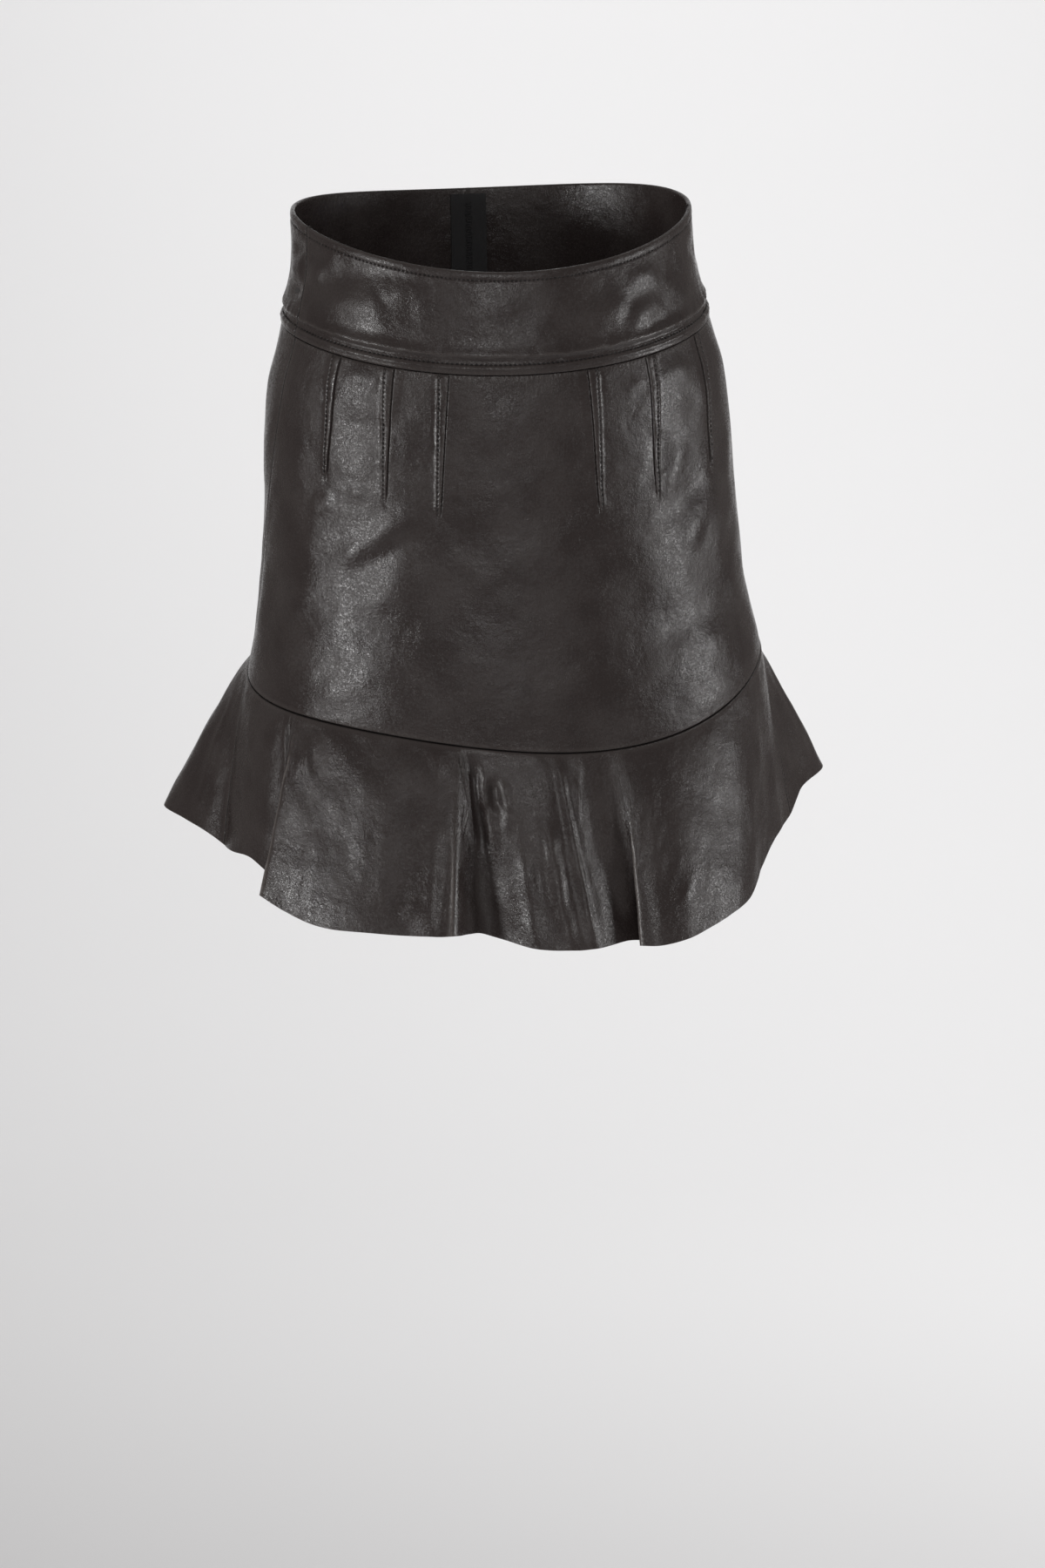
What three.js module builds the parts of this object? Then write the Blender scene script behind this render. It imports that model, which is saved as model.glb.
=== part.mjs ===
import * as THREE from "three";

// A short leather skirt with a shaped waistband, stitched darts and a folded flounce, in millimetres.
// The origin is the middle of the waist ring, +Z is up and the front faces -Y.

const LEATHER = 1.5;
const SEAM_GAP = 0.3;
const RAD = Math.PI / 180;

// The body under the leather: half width and the depths in front and behind at each height.
const BODY = [
  { z: -330, width: 173, front: 117, back: 128 },
  { z: -272, width: 168, front: 115, back: 127 },
  { z: -243, width: 162, front: 113, back: 127 },
  { z: -209, width: 156.5, front: 111, back: 127 },
  { z: -163, width: 153, front: 109, back: 126 },
  { z: -117, width: 150.5, front: 108, back: 122 },
  { z: -82, width: 147, front: 106, back: 117 },
  { z: -59, width: 140.8, front: 104, back: 113 },
  { z: -36, width: 134.8, front: 102, back: 109 },
  { z: -7, width: 128.8, front: 99, back: 104 },
  { z: 30, width: 127.5, front: 96, back: 101 },
  { z: 45, width: 127.5, front: 96, back: 101 },
];

// The heights of the long seams at the centre front, the sides and the centre back. "lean" lifts the +X
// side and "twist" turns the line round, as the worn skirt does.
const TOP_EDGE = { front: -13, side: 25, back: 33, lean: 0, twist: 0 };
const WAIST_SEAM = { front: -77, side: -45, back: -37, lean: 0, twist: 0 };
const FLOUNCE_SEAM = { front: -314, side: -265, back: -236, lean: 1.4, twist: -5.6 };

// The side seams swing to the back on their way down; angles run from the centre front, + to the +X side.
const LEFT_SEAM = { top: -72.5, bottom: -92 };
const RIGHT_SEAM = { top: 81, bottom: 91 };
const CENTRE_BACK = 180;

// Each dart runs down from the waist seam; its allowance lies on the side that "toward" names.
const FRONT_DARTS = [
  { top: -49.6, tip: -52.6, share: 0.345, toward: -1 },
  { top: -32.7, tip: -34.4, share: 0.367, toward: -1 },
  { top: -18.2, tip: -20.7, share: 0.393, toward: -1 },
  { top: 16.6, tip: 17.7, share: 0.38, toward: 1 },
  { top: 34.4, tip: 34.2, share: 0.377, toward: 1 },
  { top: 57.2, tip: 56.6, share: 0.37, toward: 1 },
];
const BACK_RIGHT_DARTS = [
  { top: 118, tip: 119, share: 0.42, toward: -1 },
  { top: 148, tip: 148, share: 0.5, toward: -1 },
];
const BACK_LEFT_DARTS = [
  { top: 212, tip: 212, share: 0.5, toward: 1 },
  { top: 242, tip: 241, share: 0.42, toward: 1 },
];
const DART = { width: 6, tipWidth: 2.2, ridge: 0.75, groove: 0.35 };

const HEM_BASE = { width: 173, front: 117, back: 128 };

// One knife fold of the hem: the way in under the upper layer, round the inner nose and out to its edge.
const FOLD = [
  { t: -8.8, turn: -1.2, out: -14, drop: 11 },
  { t: -5.3, turn: 3.4, out: -14.5, drop: 6 },
  { t: -3.3, turn: 6.9, out: -14, drop: 2 },
  { t: -2.7, turn: 7.8, out: -11.5, drop: 2 },
  { t: -2.1, turn: 7, out: -9, drop: 2 },
  { t: -1.2, turn: 3.4, out: -6.5, drop: 1 },
  { t: -0.4, turn: 0.5, out: -4, drop: 0 },
  { t: 0, turn: -0.3, out: -2, drop: 0 },
  { t: 0.4, turn: 0.6, out: 0.3, drop: 0 },
];

function knifeFold(t, angle, out, z, lap, rise) {
  return FOLD.map((row) => ({
    t: t + row.t,
    angle: angle + row.turn * lap,
    out: out + row.out,
    z: z + row.drop * rise,
  }));
}

// Where the hem hangs: t is the angle on the seam, angle and out place the hem on the flared ellipse.
const FRONT_HEM = [
  { t: -92, angle: -83.2, out: 18.3, z: -378 },
  { t: -84, angle: -74.1, out: 21.5, z: -379 },
  { t: -75, angle: -64.6, out: 23.5, z: -380 },
  ...knifeFold(-57.2, -55.8, 39.7, -400, 1, 1),
  { t: -54.5, angle: -52.6, out: 40, z: -404 },
  { t: -51, angle: -49.5, out: 38.8, z: -409 },
  { t: -46.5, angle: -44.2, out: 39.3, z: -415 },
  { t: -42, angle: -39.8, out: 39.5, z: -418 },
  { t: -33, angle: -31.3, out: 38.7, z: -420 },
  { t: -27, angle: -25.3, out: 37.8, z: -421.5 },
  { t: -20.5, angle: -19.8, out: 39.5, z: -422 },
  { t: -17.8, angle: -17.5, out: 39, z: -422 },
  { t: -16.9, angle: -16.6, out: 35.3, z: -422.5 },
  { t: -15.8, angle: -14.9, out: 21.7, z: -424 },
  { t: -14.5, angle: -12.8, out: 11.7, z: -425.5 },
  { t: -12, angle: -10.3, out: 11.1, z: -428 },
  { t: -9.5, angle: -7.6, out: 16.2, z: -430 },
  { t: -5, angle: -2.9, out: 26.2, z: -434 },
  { t: 0, angle: 2.2, out: 31.6, z: -435.5 },
  { t: 6, angle: 8.4, out: 30.6, z: -436 },
  ...knifeFold(18.5, 16.4, 35.8, -436, 0.65, 0.15),
  { t: 21.5, angle: 19.2, out: 40.5, z: -436 },
  { t: 27, angle: 24.5, out: 41.3, z: -433.5 },
  { t: 33, angle: 29.6, out: 38.3, z: -429 },
  { t: 39, angle: 34.9, out: 34.9, z: -424 },
  { t: 48, angle: 42.5, out: 28.2, z: -416.5 },
  { t: 60, angle: 52.2, out: 16.8, z: -401 },
  { t: 71, angle: 61.6, out: 11.2, z: -388 },
  { t: 80, angle: 68.4, out: 10.9, z: -381.5 },
  { t: 91, angle: 76.1, out: 12.4, z: -377 },
];
const BACK_HEM = [
  { t: 91, angle: 76.1, out: 12.4, z: -377 },
  { t: 97, angle: 88.2, out: 21, z: -364 },
  { t: 103, angle: 98.5, out: 44.5, z: -356 },
  { t: 108, angle: 104.5, out: 47, z: -354 },
  { t: 114, angle: 112, out: 33, z: -352 },
  { t: 120, angle: 119, out: 19, z: -350 },
  { t: 126, angle: 126, out: 22, z: -349 },
  { t: 132, angle: 133, out: 40, z: -347 },
  { t: 137, angle: 138.5, out: 43, z: -346 },
  ...knifeFold(153, 152, 46, -346, 0.9, 0.5),
  { t: 156, angle: 155.5, out: 46.5, z: -346 },
  { t: 161, angle: 161, out: 38, z: -345 },
  { t: 168, angle: 168, out: 20, z: -344 },
  { t: 175, angle: 175, out: 22, z: -344 },
  { t: 182, angle: 182, out: 41, z: -342 },
  { t: 188, angle: 188, out: 46, z: -341 },
  { t: 194, angle: 194, out: 35, z: -342 },
  { t: 201, angle: 201, out: 20, z: -343 },
  { t: 208, angle: 208, out: 27, z: -344 },
  ...knifeFold(223, 222.5, 46, -347, 0.9, 0.5),
  { t: 226, angle: 226, out: 47, z: -347 },
  { t: 231, angle: 231.5, out: 38, z: -349 },
  { t: 237, angle: 237.5, out: 22, z: -352 },
  { t: 243, angle: 243, out: 27, z: -354 },
  { t: 249, angle: 250, out: 46, z: -357 },
  { t: 255, angle: 257.5, out: 55, z: -359 },
  { t: 260, angle: 265, out: 41, z: -364 },
  { t: 264, angle: 271, out: 28.6, z: -370 },
  { t: 268, angle: 276.8, out: 18.3, z: -378 },
];

const ZIP = { length: 190, tapeWidth: 24, tapeThickness: 0.6, sliderDrop: 9 };
const SLIDER = { width: 2.4, rise: 4, fall: 5, thickness: 1.4, lugRadius: 2, holeRadius: 1.1 };
const TAB = { length: 22, halfWidth: 2.7, thickness: 1.2, bar: 0.5, slot: 1.5, slotEnd: 2.4 };

function mix(a, b, share) {
  return a + (b - a) * share;
}

function smooth(share) {
  const s = Math.min(1, Math.max(0, share));
  return s * s * (3 - 2 * s);
}

function level(line, t) {
  const middle = (line.front + line.back) / 2;
  const once = ((line.front - line.back) / 2) * Math.cos(t * RAD);
  const twice = ((middle - line.side) / 2) * Math.cos(2 * t * RAD);
  const uneven = line.lean * Math.sin(t * RAD) + line.twist * Math.sin(3 * t * RAD);
  return (middle + line.side) / 2 + once + twice + uneven;
}

// Monotone cubic through one column of the body table.
function bodySize(z, column) {
  const last = BODY.length - 2;
  let i = 0;
  while (i < last && BODY[i + 1].z < z) i += 1;
  const slope = (k) => {
    const row = BODY[k];
    const next = BODY[k + 1];
    return (next[column] - row[column]) / (next.z - row.z);
  };
  const tangent = (k) => {
    if (k === 0) return slope(0);
    if (k === BODY.length - 1) return slope(k - 1);
    const before = slope(k - 1);
    const after = slope(k);
    if (before * after <= 0) return 0;
    const h0 = BODY[k].z - BODY[k - 1].z;
    const h1 = BODY[k + 1].z - BODY[k].z;
    const w0 = 2 * h1 + h0;
    const w1 = h1 + 2 * h0;
    return (w0 + w1) / (w0 / before + w1 / after);
  };
  const h = BODY[i + 1].z - BODY[i].z;
  const s = (z - BODY[i].z) / h;
  const start = (1 + 2 * s) * (1 - s) ** 2 * BODY[i][column] + s * (1 - s) ** 2 * h * tangent(i);
  const end = s * s * (3 - 2 * s) * BODY[i + 1][column] + s * s * (s - 1) * h * tangent(i + 1);
  return start + end;
}

function bodyPoint(t, z) {
  const c = Math.cos(t * RAD);
  const depth = bodySize(z, c > 0 ? "front" : "back");
  return new THREE.Vector3(bodySize(z, "width") * Math.sin(t * RAD), -depth * c, z);
}

// Degrees of angle that a length along the ring takes at this place.
function degreesFor(length, t, z) {
  const step = 0.5;
  return (length * 2 * step) / bodyPoint(t - step, z).distanceTo(bodyPoint(t + step, z));
}

// A closed wall on a grid of points, offset along the normals; "beside" holds the neighbours' columns of
// points before the first and after the last, so that two pieces share the normals of their seam.
function wall(name, points, outer, inner, beside) {
  const rows = points.length;
  const columns = points[0].length;
  const at = (i, j) => {
    const row = Math.min(rows - 1, Math.max(0, i));
    if (beside && j < 0) return beside[0][row];
    if (beside && j >= columns) return beside[1][row];
    return points[row][Math.min(columns - 1, Math.max(0, j))];
  };
  const position = [];
  const push = (i, j, offset) => {
    const across = at(i, j + 1).clone().sub(at(i, j - 1));
    const down = at(i + 1, j).clone().sub(at(i - 1, j));
    const normal = down.cross(across).normalize();
    const p = points[i][j].clone().addScaledVector(normal, offset);
    position.push(p.x, p.y, p.z);
  };
  for (let i = 0; i < rows; i += 1) for (let j = 0; j < columns; j += 1) push(i, j, outer(i, j));
  for (let i = 0; i < rows; i += 1) for (let j = 0; j < columns; j += 1) push(i, j, -inner(i, j));
  const index = [];
  const quad = (a, b, c, d) => index.push(a, b, c, a, c, d);
  const back = rows * columns;
  for (let i = 0; i < rows - 1; i += 1) {
    for (let j = 0; j < columns - 1; j += 1) {
      const a = i * columns + j;
      const b = a + columns;
      quad(a, b, b + 1, a + 1);
      quad(back + a, back + a + 1, back + b + 1, back + b);
    }
  }
  for (let j = 0; j < columns - 1; j += 1) {
    const end = (rows - 1) * columns + j;
    quad(j, j + 1, back + j + 1, back + j);
    quad(end, back + end, back + end + 1, end + 1);
  }
  for (let i = 0; i < rows - 1; i += 1) {
    const start = i * columns;
    const end = start + columns - 1;
    quad(start, back + start, back + start + columns, start + columns);
    quad(end, end + columns, back + end + columns, back + end);
  }
  const geometry = new THREE.BufferGeometry();
  geometry.setAttribute("position", new THREE.Float32BufferAttribute(position, 3));
  geometry.setIndex(index);
  const mesh = new THREE.Mesh(geometry, new THREE.MeshStandardMaterial());
  mesh.name = name;
  return mesh;
}

// Waistband: doubled leather with a pressed strip over the waist seam and a folded top edge.
const BAND_ROWS = [
  { share: 0, above: SEAM_GAP / 2, outer: 1.3, inner: 1.2 },
  { share: 0, above: 1.3, outer: 2.3, inner: 1.3 },
  { share: 0, above: 6.4, outer: 2.1, inner: 1.3 },
  { share: 0, above: 11.4, outer: 2.3, inner: 1.3 },
  { share: 0, above: 13.2, outer: 1.7, inner: 1.3 },
  { share: 0.36, above: 0, outer: 1.7, inner: 1.3 },
  { share: 0.52, above: 0, outer: 1.7, inner: 1.3 },
  { share: 0.68, above: 0, outer: 1.7, inner: 1.3 },
  { share: 0.82, above: 0, outer: 1.7, inner: 1.3 },
  { share: 1, above: -5.7, outer: 1.6, inner: 1.3 },
  { share: 1, above: -1.3, outer: 1.7, inner: 1.3 },
  { share: 1, above: 0, outer: 0.9, inner: 0.6 },
];

function bandPiece(name, from, to, count) {
  const start = from + degreesFor(SEAM_GAP / 2, from, 0);
  const end = to - degreesFor(SEAM_GAP / 2, to, 0);
  const lip = degreesFor(1.3, from, 0);
  const angles = [start, start + lip];
  for (let k = 1; k < count; k += 1) angles.push(mix(start + lip, end - lip, k / count));
  angles.push(end - lip, end);
  const rows = BAND_ROWS.slice().reverse();
  const points = rows.map((row) =>
    angles.map((t) => {
      const z = mix(level(WAIST_SEAM, t), level(TOP_EDGE, t), row.share) + row.above;
      return bodyPoint(t, z);
    }),
  );
  const edge = (j) => (j === 0 || j === angles.length - 1 ? 0.5 : 0);
  return wall(name, points, (i, j) => rows[i].outer - edge(j), (i) => rows[i].inner);
}

// Panels: the columns follow the darts, so that each groove and ridge has its own line of points.
const PANEL_ROWS = [0, 0.04, 0.1, 0.17, 0.24, 0.3, 0.35, 0.39, 0.44, 0.52, 0.61, 0.7, 0.79, 0.88, 0.95, 1];
const DART_COLUMNS = [
  { across: -1.6, height: 0 },
  { across: 0, height: -DART.groove },
  { across: 1.4, height: DART.ridge },
  { across: DART.width - 0.9, height: DART.ridge },
  { across: DART.width + 0.9, height: 0 },
];

function panelPiece(name, seamFrom, seamTo, darts, spacing) {
  const columns = [];
  const between = (a, b) => {
    const gap = b(0) - a(0);
    const count = Math.max(1, Math.round(gap / spacing));
    for (let k = 1; k < count; k += 1) columns.push({ at: (v) => mix(a(v), b(v), k / count), height: 0 });
  };
  const height = (t, v) => mix(level(WAIST_SEAM, t), level(FLOUNCE_SEAM, t), v);
  const inset = (t, v) => degreesFor(SEAM_GAP / 2, t, height(t, v));
  let before = (v) => seamFrom(v) + inset(seamFrom(v), v);
  columns.push({ at: before, height: 0 });
  for (const dart of darts) {
    const line = (v) => mix(dart.top, dart.tip, Math.min(1, v / dart.share));
    const rows = dart.toward > 0 ? DART_COLUMNS : DART_COLUMNS.slice().reverse();
    const made = rows.map((row) => ({
      at: (v) => {
        const taper = mix(1, 0.45, smooth(v / dart.share));
        const t = line(v);
        return t + dart.toward * degreesFor(row.across * taper, t, height(t, v));
      },
      height: row.height,
      share: dart.share,
    }));
    between(before, made[0].at);
    columns.push(...made);
    before = made[made.length - 1].at;
  }
  const last = (v) => seamTo(v) - inset(seamTo(v), v);
  between(before, last);
  columns.push({ at: last, height: 0 });
  const points = PANEL_ROWS.map((v) =>
    columns.map((column) => {
      const t = column.at(v);
      const top = level(WAIST_SEAM, t) - SEAM_GAP / 2;
      const bottom = level(FLOUNCE_SEAM, t) + SEAM_GAP / 2;
      return bodyPoint(t, mix(top, bottom, v));
    }),
  );
  const outer = (i, j) => {
    const column = columns[j];
    if (!column.height) return LEATHER / 2;
    const fade = 1 - smooth((PANEL_ROWS[i] / column.share - 0.75) / 0.25);
    return LEATHER / 2 + column.height * fade;
  };
  return wall(name, points, outer, () => LEATHER / 2);
}

// Flounce: ribs from the seam to the hem, set along a smooth curve through the hem table.
const FLOUNCE_ROWS = [0, 0.08, 0.2, 0.34, 0.48, 0.62, 0.76, 0.88, 1];
const RIB_STEP = 7;

function hemPoint(row) {
  const c = Math.cos(row.angle * RAD);
  const depth = (c > 0 ? HEM_BASE.front : HEM_BASE.back) + row.out;
  return [(HEM_BASE.width + row.out) * Math.sin(row.angle * RAD), -depth * c, row.z, row.t];
}

function ribsAlong(table, first, last) {
  const knots = table.map(hemPoint);
  const distance = (a, b) => Math.max(1e-6, Math.hypot(a[0] - b[0], a[1] - b[1], a[2] - b[2]));
  const ribs = [];
  for (let k = 0; k < knots.length - 1; k += 1) {
    const b = knots[k];
    const c = knots[k + 1];
    const a = k > 0 ? knots[k - 1] : first;
    const d = k + 2 < knots.length ? knots[k + 2] : last;
    const ta = Math.sqrt(distance(a, b));
    const tb = Math.sqrt(distance(b, c));
    const tc = Math.sqrt(distance(c, d));
    const count = Math.max(1, Math.round(distance(b, c) / RIB_STEP));
    for (let n = 0; n < count; n += 1) {
      const s = n / count;
      ribs.push(
        b.map((value, i) => {
          const slopeB = ((c[i] - value) / tb - (c[i] - a[i]) / (ta + tb) + (value - a[i]) / ta) * tb;
          const slopeC = ((d[i] - c[i]) / tc - (d[i] - value) / (tb + tc) + (c[i] - value) / tb) * tb;
          const start = (1 + 2 * s) * (1 - s) ** 2 * value + s * (1 - s) ** 2 * slopeB;
          const end = s * s * (3 - 2 * s) * c[i] + s * s * (s - 1) * slopeC;
          return start + end;
        }),
      );
    }
  }
  ribs.push(knots[knots.length - 1]);
  return ribs;
}

function flouncePoint(rib, share) {
  const [x, y, z, t] = rib;
  const seam = bodyPoint(t, level(FLOUNCE_SEAM, t) - SEAM_GAP * 2);
  const c = Math.cos(t * RAD);
  const depth = c > 0 ? HEM_BASE.front : HEM_BASE.back;
  const normal = new THREE.Vector2(Math.sin(t * RAD) / HEM_BASE.width, -c / depth).normalize();
  const along = new THREE.Vector2(-normal.y, normal.x);
  const reach = new THREE.Vector2(x - seam.x, y - seam.y);
  const out = reach.dot(normal) * share ** 0.82;
  const side = reach.dot(along) * share ** 1.5;
  return new THREE.Vector3(
    seam.x + normal.x * out + along.x * side,
    seam.y + normal.y * out + along.y * side,
    mix(seam.z, z, share),
  );
}

function turned(knot, degrees) {
  return [knot[0], knot[1], knot[2], knot[3] + degrees];
}

// The two pieces meet at the side seams, so each reads the knots of the other past its own ends.
function flouncePiece(name, table, others) {
  const before = others.table.map(hemPoint).map((knot) => turned(knot, others.before));
  const after = others.table.map(hemPoint).map((knot) => turned(knot, others.after));
  const ribs = ribsAlong(table, before[before.length - 2], after[1]);
  const ends = [ribs[0], ribs[ribs.length - 1]];
  const inwards = [ribs[1], ribs[ribs.length - 2]];
  ends.forEach((rib, k) => {
    const gap = (SEAM_GAP / 2) * (k === 0 ? 1 : -1);
    const scale = SEAM_GAP / 2 / Math.hypot(inwards[k][0] - rib[0], inwards[k][1] - rib[1]);
    rib[0] += (inwards[k][0] - rib[0]) * scale;
    rib[1] += (inwards[k][1] - rib[1]) * scale;
    rib[3] += degreesFor(gap, rib[3], -270);
  });
  const column = (rib) => FLOUNCE_ROWS.map((share) => flouncePoint(rib, share));
  const points = FLOUNCE_ROWS.map((share) => ribs.map((rib) => flouncePoint(rib, share)));
  const beside = [column(before[before.length - 2]), column(after[1])];
  return wall(name, points, () => LEATHER / 2, () => LEATHER / 2, beside);
}

// Concealed zip at the centre back: tape inside, slider and pull tab outside.
function zipTape() {
  const top = level(TOP_EDGE, CENTRE_BACK) - 4;
  const reach = degreesFor(ZIP.tapeWidth / 2, CENTRE_BACK, 0);
  const points = [];
  for (let i = 0; i <= 9; i += 1) {
    const row = [];
    for (let j = 0; j <= 4; j += 1) {
      const t = CENTRE_BACK + reach * (j / 2 - 1);
      row.push(bodyPoint(t, top - (ZIP.length * i) / 9));
    }
    points.push(row);
  }
  const face = 1.3 + SEAM_GAP + 0.5;
  return wall("zip_tape", points, () => -face, () => face + ZIP.tapeThickness);
}

function placed(name, geometry, slope, origin) {
  geometry.rotateX(slope);
  geometry.translate(origin.x, origin.y, origin.z);
  const mesh = new THREE.Mesh(geometry, new THREE.MeshStandardMaterial());
  mesh.name = name;
  return mesh;
}

function zipPull() {
  const z = level(TOP_EDGE, CENTRE_BACK) - ZIP.sliderDrop;
  const slope = Math.atan((bodySize(z - 6, "back") - bodySize(z + 6, "back")) / 12);
  const origin = new THREE.Vector3(0, bodyPoint(CENTRE_BACK, z).y + 1.8, z);
  const face = 0.35;
  const front = face + SLIDER.thickness;
  const centre = front + 1.45;
  const cut = Math.acos((front - centre) / SLIDER.lugRadius);
  const body = new THREE.Shape();
  body.moveTo(face, -SLIDER.fall);
  body.lineTo(front, -SLIDER.fall);
  body.absarc(centre, 0, SLIDER.lugRadius, -cut, cut, false);
  body.lineTo(front, SLIDER.rise);
  body.lineTo(face, SLIDER.rise);
  body.closePath();
  const hole = new THREE.Path();
  hole.absarc(centre, 0, SLIDER.holeRadius, 0, 2 * Math.PI, true);
  body.holes.push(hole);
  const slider = new THREE.ExtrudeGeometry(body, { depth: SLIDER.width, bevelEnabled: false, curveSegments: 10 });
  // The profile's x is outwards (+Y) and its y is up (+Z), so the extrusion runs along +X.
  slider.translate(0, 0, -SLIDER.width / 2);
  slider.applyMatrix4(
    new THREE.Matrix4().set(0, 0, 1, 0, 1, 0, 0, 0, 0, 1, 0, 0, 0, 0, 0, 1),
  );
  const plate = new THREE.Shape();
  const w = TAB.halfWidth;
  plate.moveTo(-w, TAB.bar);
  plate.lineTo(-w * 0.8, -TAB.length * 0.45);
  plate.lineTo(-w, -TAB.length + w);
  plate.absarc(0, -TAB.length + w, w, Math.PI, 2 * Math.PI, false);
  plate.lineTo(w * 0.8, -TAB.length * 0.45);
  plate.lineTo(w, TAB.bar);
  plate.closePath();
  const slot = new THREE.Path();
  slot.moveTo(-TAB.slot, -TAB.bar);
  slot.lineTo(TAB.slot, -TAB.bar);
  slot.lineTo(TAB.slot, -TAB.slotEnd);
  slot.lineTo(-TAB.slot, -TAB.slotEnd);
  slot.closePath();
  plate.holes.push(slot);
  const tab = new THREE.ExtrudeGeometry(plate, { depth: TAB.thickness, bevelEnabled: false, curveSegments: 8 });
  tab.translate(0, 0, -TAB.thickness / 2);
  // The plate's thickness turns to face outwards.
  tab.rotateX(Math.PI / 2);
  tab.translate(0, centre, 0);
  return [placed("zip_slider", slider, slope, origin), placed("pull_tab", tab, slope, origin)];
}

const leftSeam = (v) => mix(LEFT_SEAM.top, LEFT_SEAM.bottom, smooth(v * 1.15));
const rightSeam = (v) => mix(RIGHT_SEAM.top, RIGHT_SEAM.bottom, smooth(v * 1.15));
const leftSeamBehind = (v) => leftSeam(v) + 360;
const centreBack = () => CENTRE_BACK;

const skirt = new THREE.Group();
skirt.add(bandPiece("waistband_front", LEFT_SEAM.top, RIGHT_SEAM.top, 27));
skirt.add(bandPiece("waistband_back_right", RIGHT_SEAM.top, CENTRE_BACK, 16));
skirt.add(bandPiece("waistband_back_left", CENTRE_BACK, LEFT_SEAM.top + 360, 17));
skirt.add(panelPiece("front_panel", leftSeam, rightSeam, FRONT_DARTS, 6));
skirt.add(panelPiece("back_panel_right", rightSeam, centreBack, BACK_RIGHT_DARTS, 8));
skirt.add(panelPiece("back_panel_left", centreBack, leftSeamBehind, BACK_LEFT_DARTS, 8));
skirt.add(flouncePiece("flounce_front", FRONT_HEM, { table: BACK_HEM, before: -360, after: 0 }));
skirt.add(flouncePiece("flounce_back", BACK_HEM, { table: FRONT_HEM, before: 0, after: 360 }));
skirt.add(zipTape());
skirt.add(...zipPull());

export default skirt;
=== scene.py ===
"""A short leather skirt with stitched darts and a folded flounce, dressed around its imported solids.

Sizes are in millimetres until a mesh is made, which is in metres. Angles are degrees from the centre front,
positive towards +X.
"""

import logging
import math
from collections.abc import Callable
from dataclasses import dataclass
from enum import Enum

import bmesh
import bpy
import numpy as np
from mathutils import Matrix, Vector


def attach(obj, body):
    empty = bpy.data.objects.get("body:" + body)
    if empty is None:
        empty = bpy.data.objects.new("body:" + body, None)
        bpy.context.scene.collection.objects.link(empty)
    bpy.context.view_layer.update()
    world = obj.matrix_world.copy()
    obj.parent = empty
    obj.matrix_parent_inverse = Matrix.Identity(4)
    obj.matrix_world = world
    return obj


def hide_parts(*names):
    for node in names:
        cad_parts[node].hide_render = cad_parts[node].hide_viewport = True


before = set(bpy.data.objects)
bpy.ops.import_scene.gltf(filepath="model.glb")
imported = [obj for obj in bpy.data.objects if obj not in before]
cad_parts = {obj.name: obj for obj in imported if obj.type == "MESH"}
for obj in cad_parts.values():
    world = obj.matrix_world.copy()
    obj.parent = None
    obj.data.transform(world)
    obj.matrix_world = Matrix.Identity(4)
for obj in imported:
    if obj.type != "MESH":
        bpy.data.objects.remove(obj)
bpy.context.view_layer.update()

logging.basicConfig(level=logging.INFO, format="%(message)s")
log = logging.getLogger("skirt")

MM = 0.001
LEATHER = 1.5
SEAM_GAP = 0.04
SEAM_ROLL = 0.9
SEAM_FLANGE = 2.6
HEM_WIDTH = 173.0
HEM_FRONT = 117.0
HEM_BACK = 128.0
STITCH_PITCH = 2.9
WAIST_LEVEL = -50.0
HIP_LEVEL = -160.0
SKIRT_BODY = "skirt"

Array = np.ndarray


def smooth(share: Array) -> Array:
    """Ease from 0 to 1 over a share that may run outside 0 to 1."""
    s = np.clip(share, 0.0, 1.0)
    return s * s * (3 - 2 * s)


def mix(a: Array, b: Array, share: Array) -> Array:
    """Blend a into b by the share."""
    return a + (b - a) * share


def bell(away: Array, width: Array | float) -> Array:
    """A soft bump of height 1, falling off over its width on both sides of 0."""
    return np.exp(-((away / width) ** 2))


def monotone(xs: Array, ys: Array, x: Array) -> Array:
    """Monotone cubic through the points of a table.

    Args:
        xs: the rising positions of the rows.
        ys: the values of the rows.
        x: where to read the curve.

    Returns:
        The curve's values at x.
    """
    h = np.diff(xs)
    d = np.diff(ys) / h
    m = np.zeros_like(ys)
    m[0], m[-1] = d[0], d[-1]
    for i in range(1, len(xs) - 1):
        if d[i - 1] * d[i] > 0:
            w0 = 2 * h[i] + h[i - 1]
            w1 = h[i] + 2 * h[i - 1]
            m[i] = (w0 + w1) / (w0 / d[i - 1] + w1 / d[i])
    i = np.clip(np.searchsorted(xs, x) - 1, 0, len(xs) - 2)
    s = (x - xs[i]) / h[i]
    start = (1 + 2 * s) * (1 - s) ** 2 * ys[i] + s * (1 - s) ** 2 * h[i] * m[i]
    end = s * s * (3 - 2 * s) * ys[i + 1] + s * s * (s - 1) * h[i] * m[i + 1]
    return start + end


@dataclass(frozen=True)
class SeamLine:
    """The height of a long seam round the skirt, in millimetres."""

    front: float
    side: float
    back: float
    lean: float = 0.0
    twist: float = 0.0

    def level(self, t: Array) -> Array:
        """Height at the angles t."""
        a = np.radians(t)
        middle = (self.front + self.back) / 2
        once = (self.front - self.back) / 2 * np.cos(a)
        twice = (middle - self.side) / 2 * np.cos(2 * a)
        uneven = self.lean * np.sin(a) + self.twist * np.sin(3 * a)
        return (middle + self.side) / 2 + once + twice + uneven


TOP_EDGE = SeamLine(front=-13, side=25, back=33)
WAIST_SEAM = SeamLine(front=-77, side=-45, back=-37)
FLOUNCE_SEAM = SeamLine(front=-314, side=-265, back=-236, lean=1.4, twist=-5.6)


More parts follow.
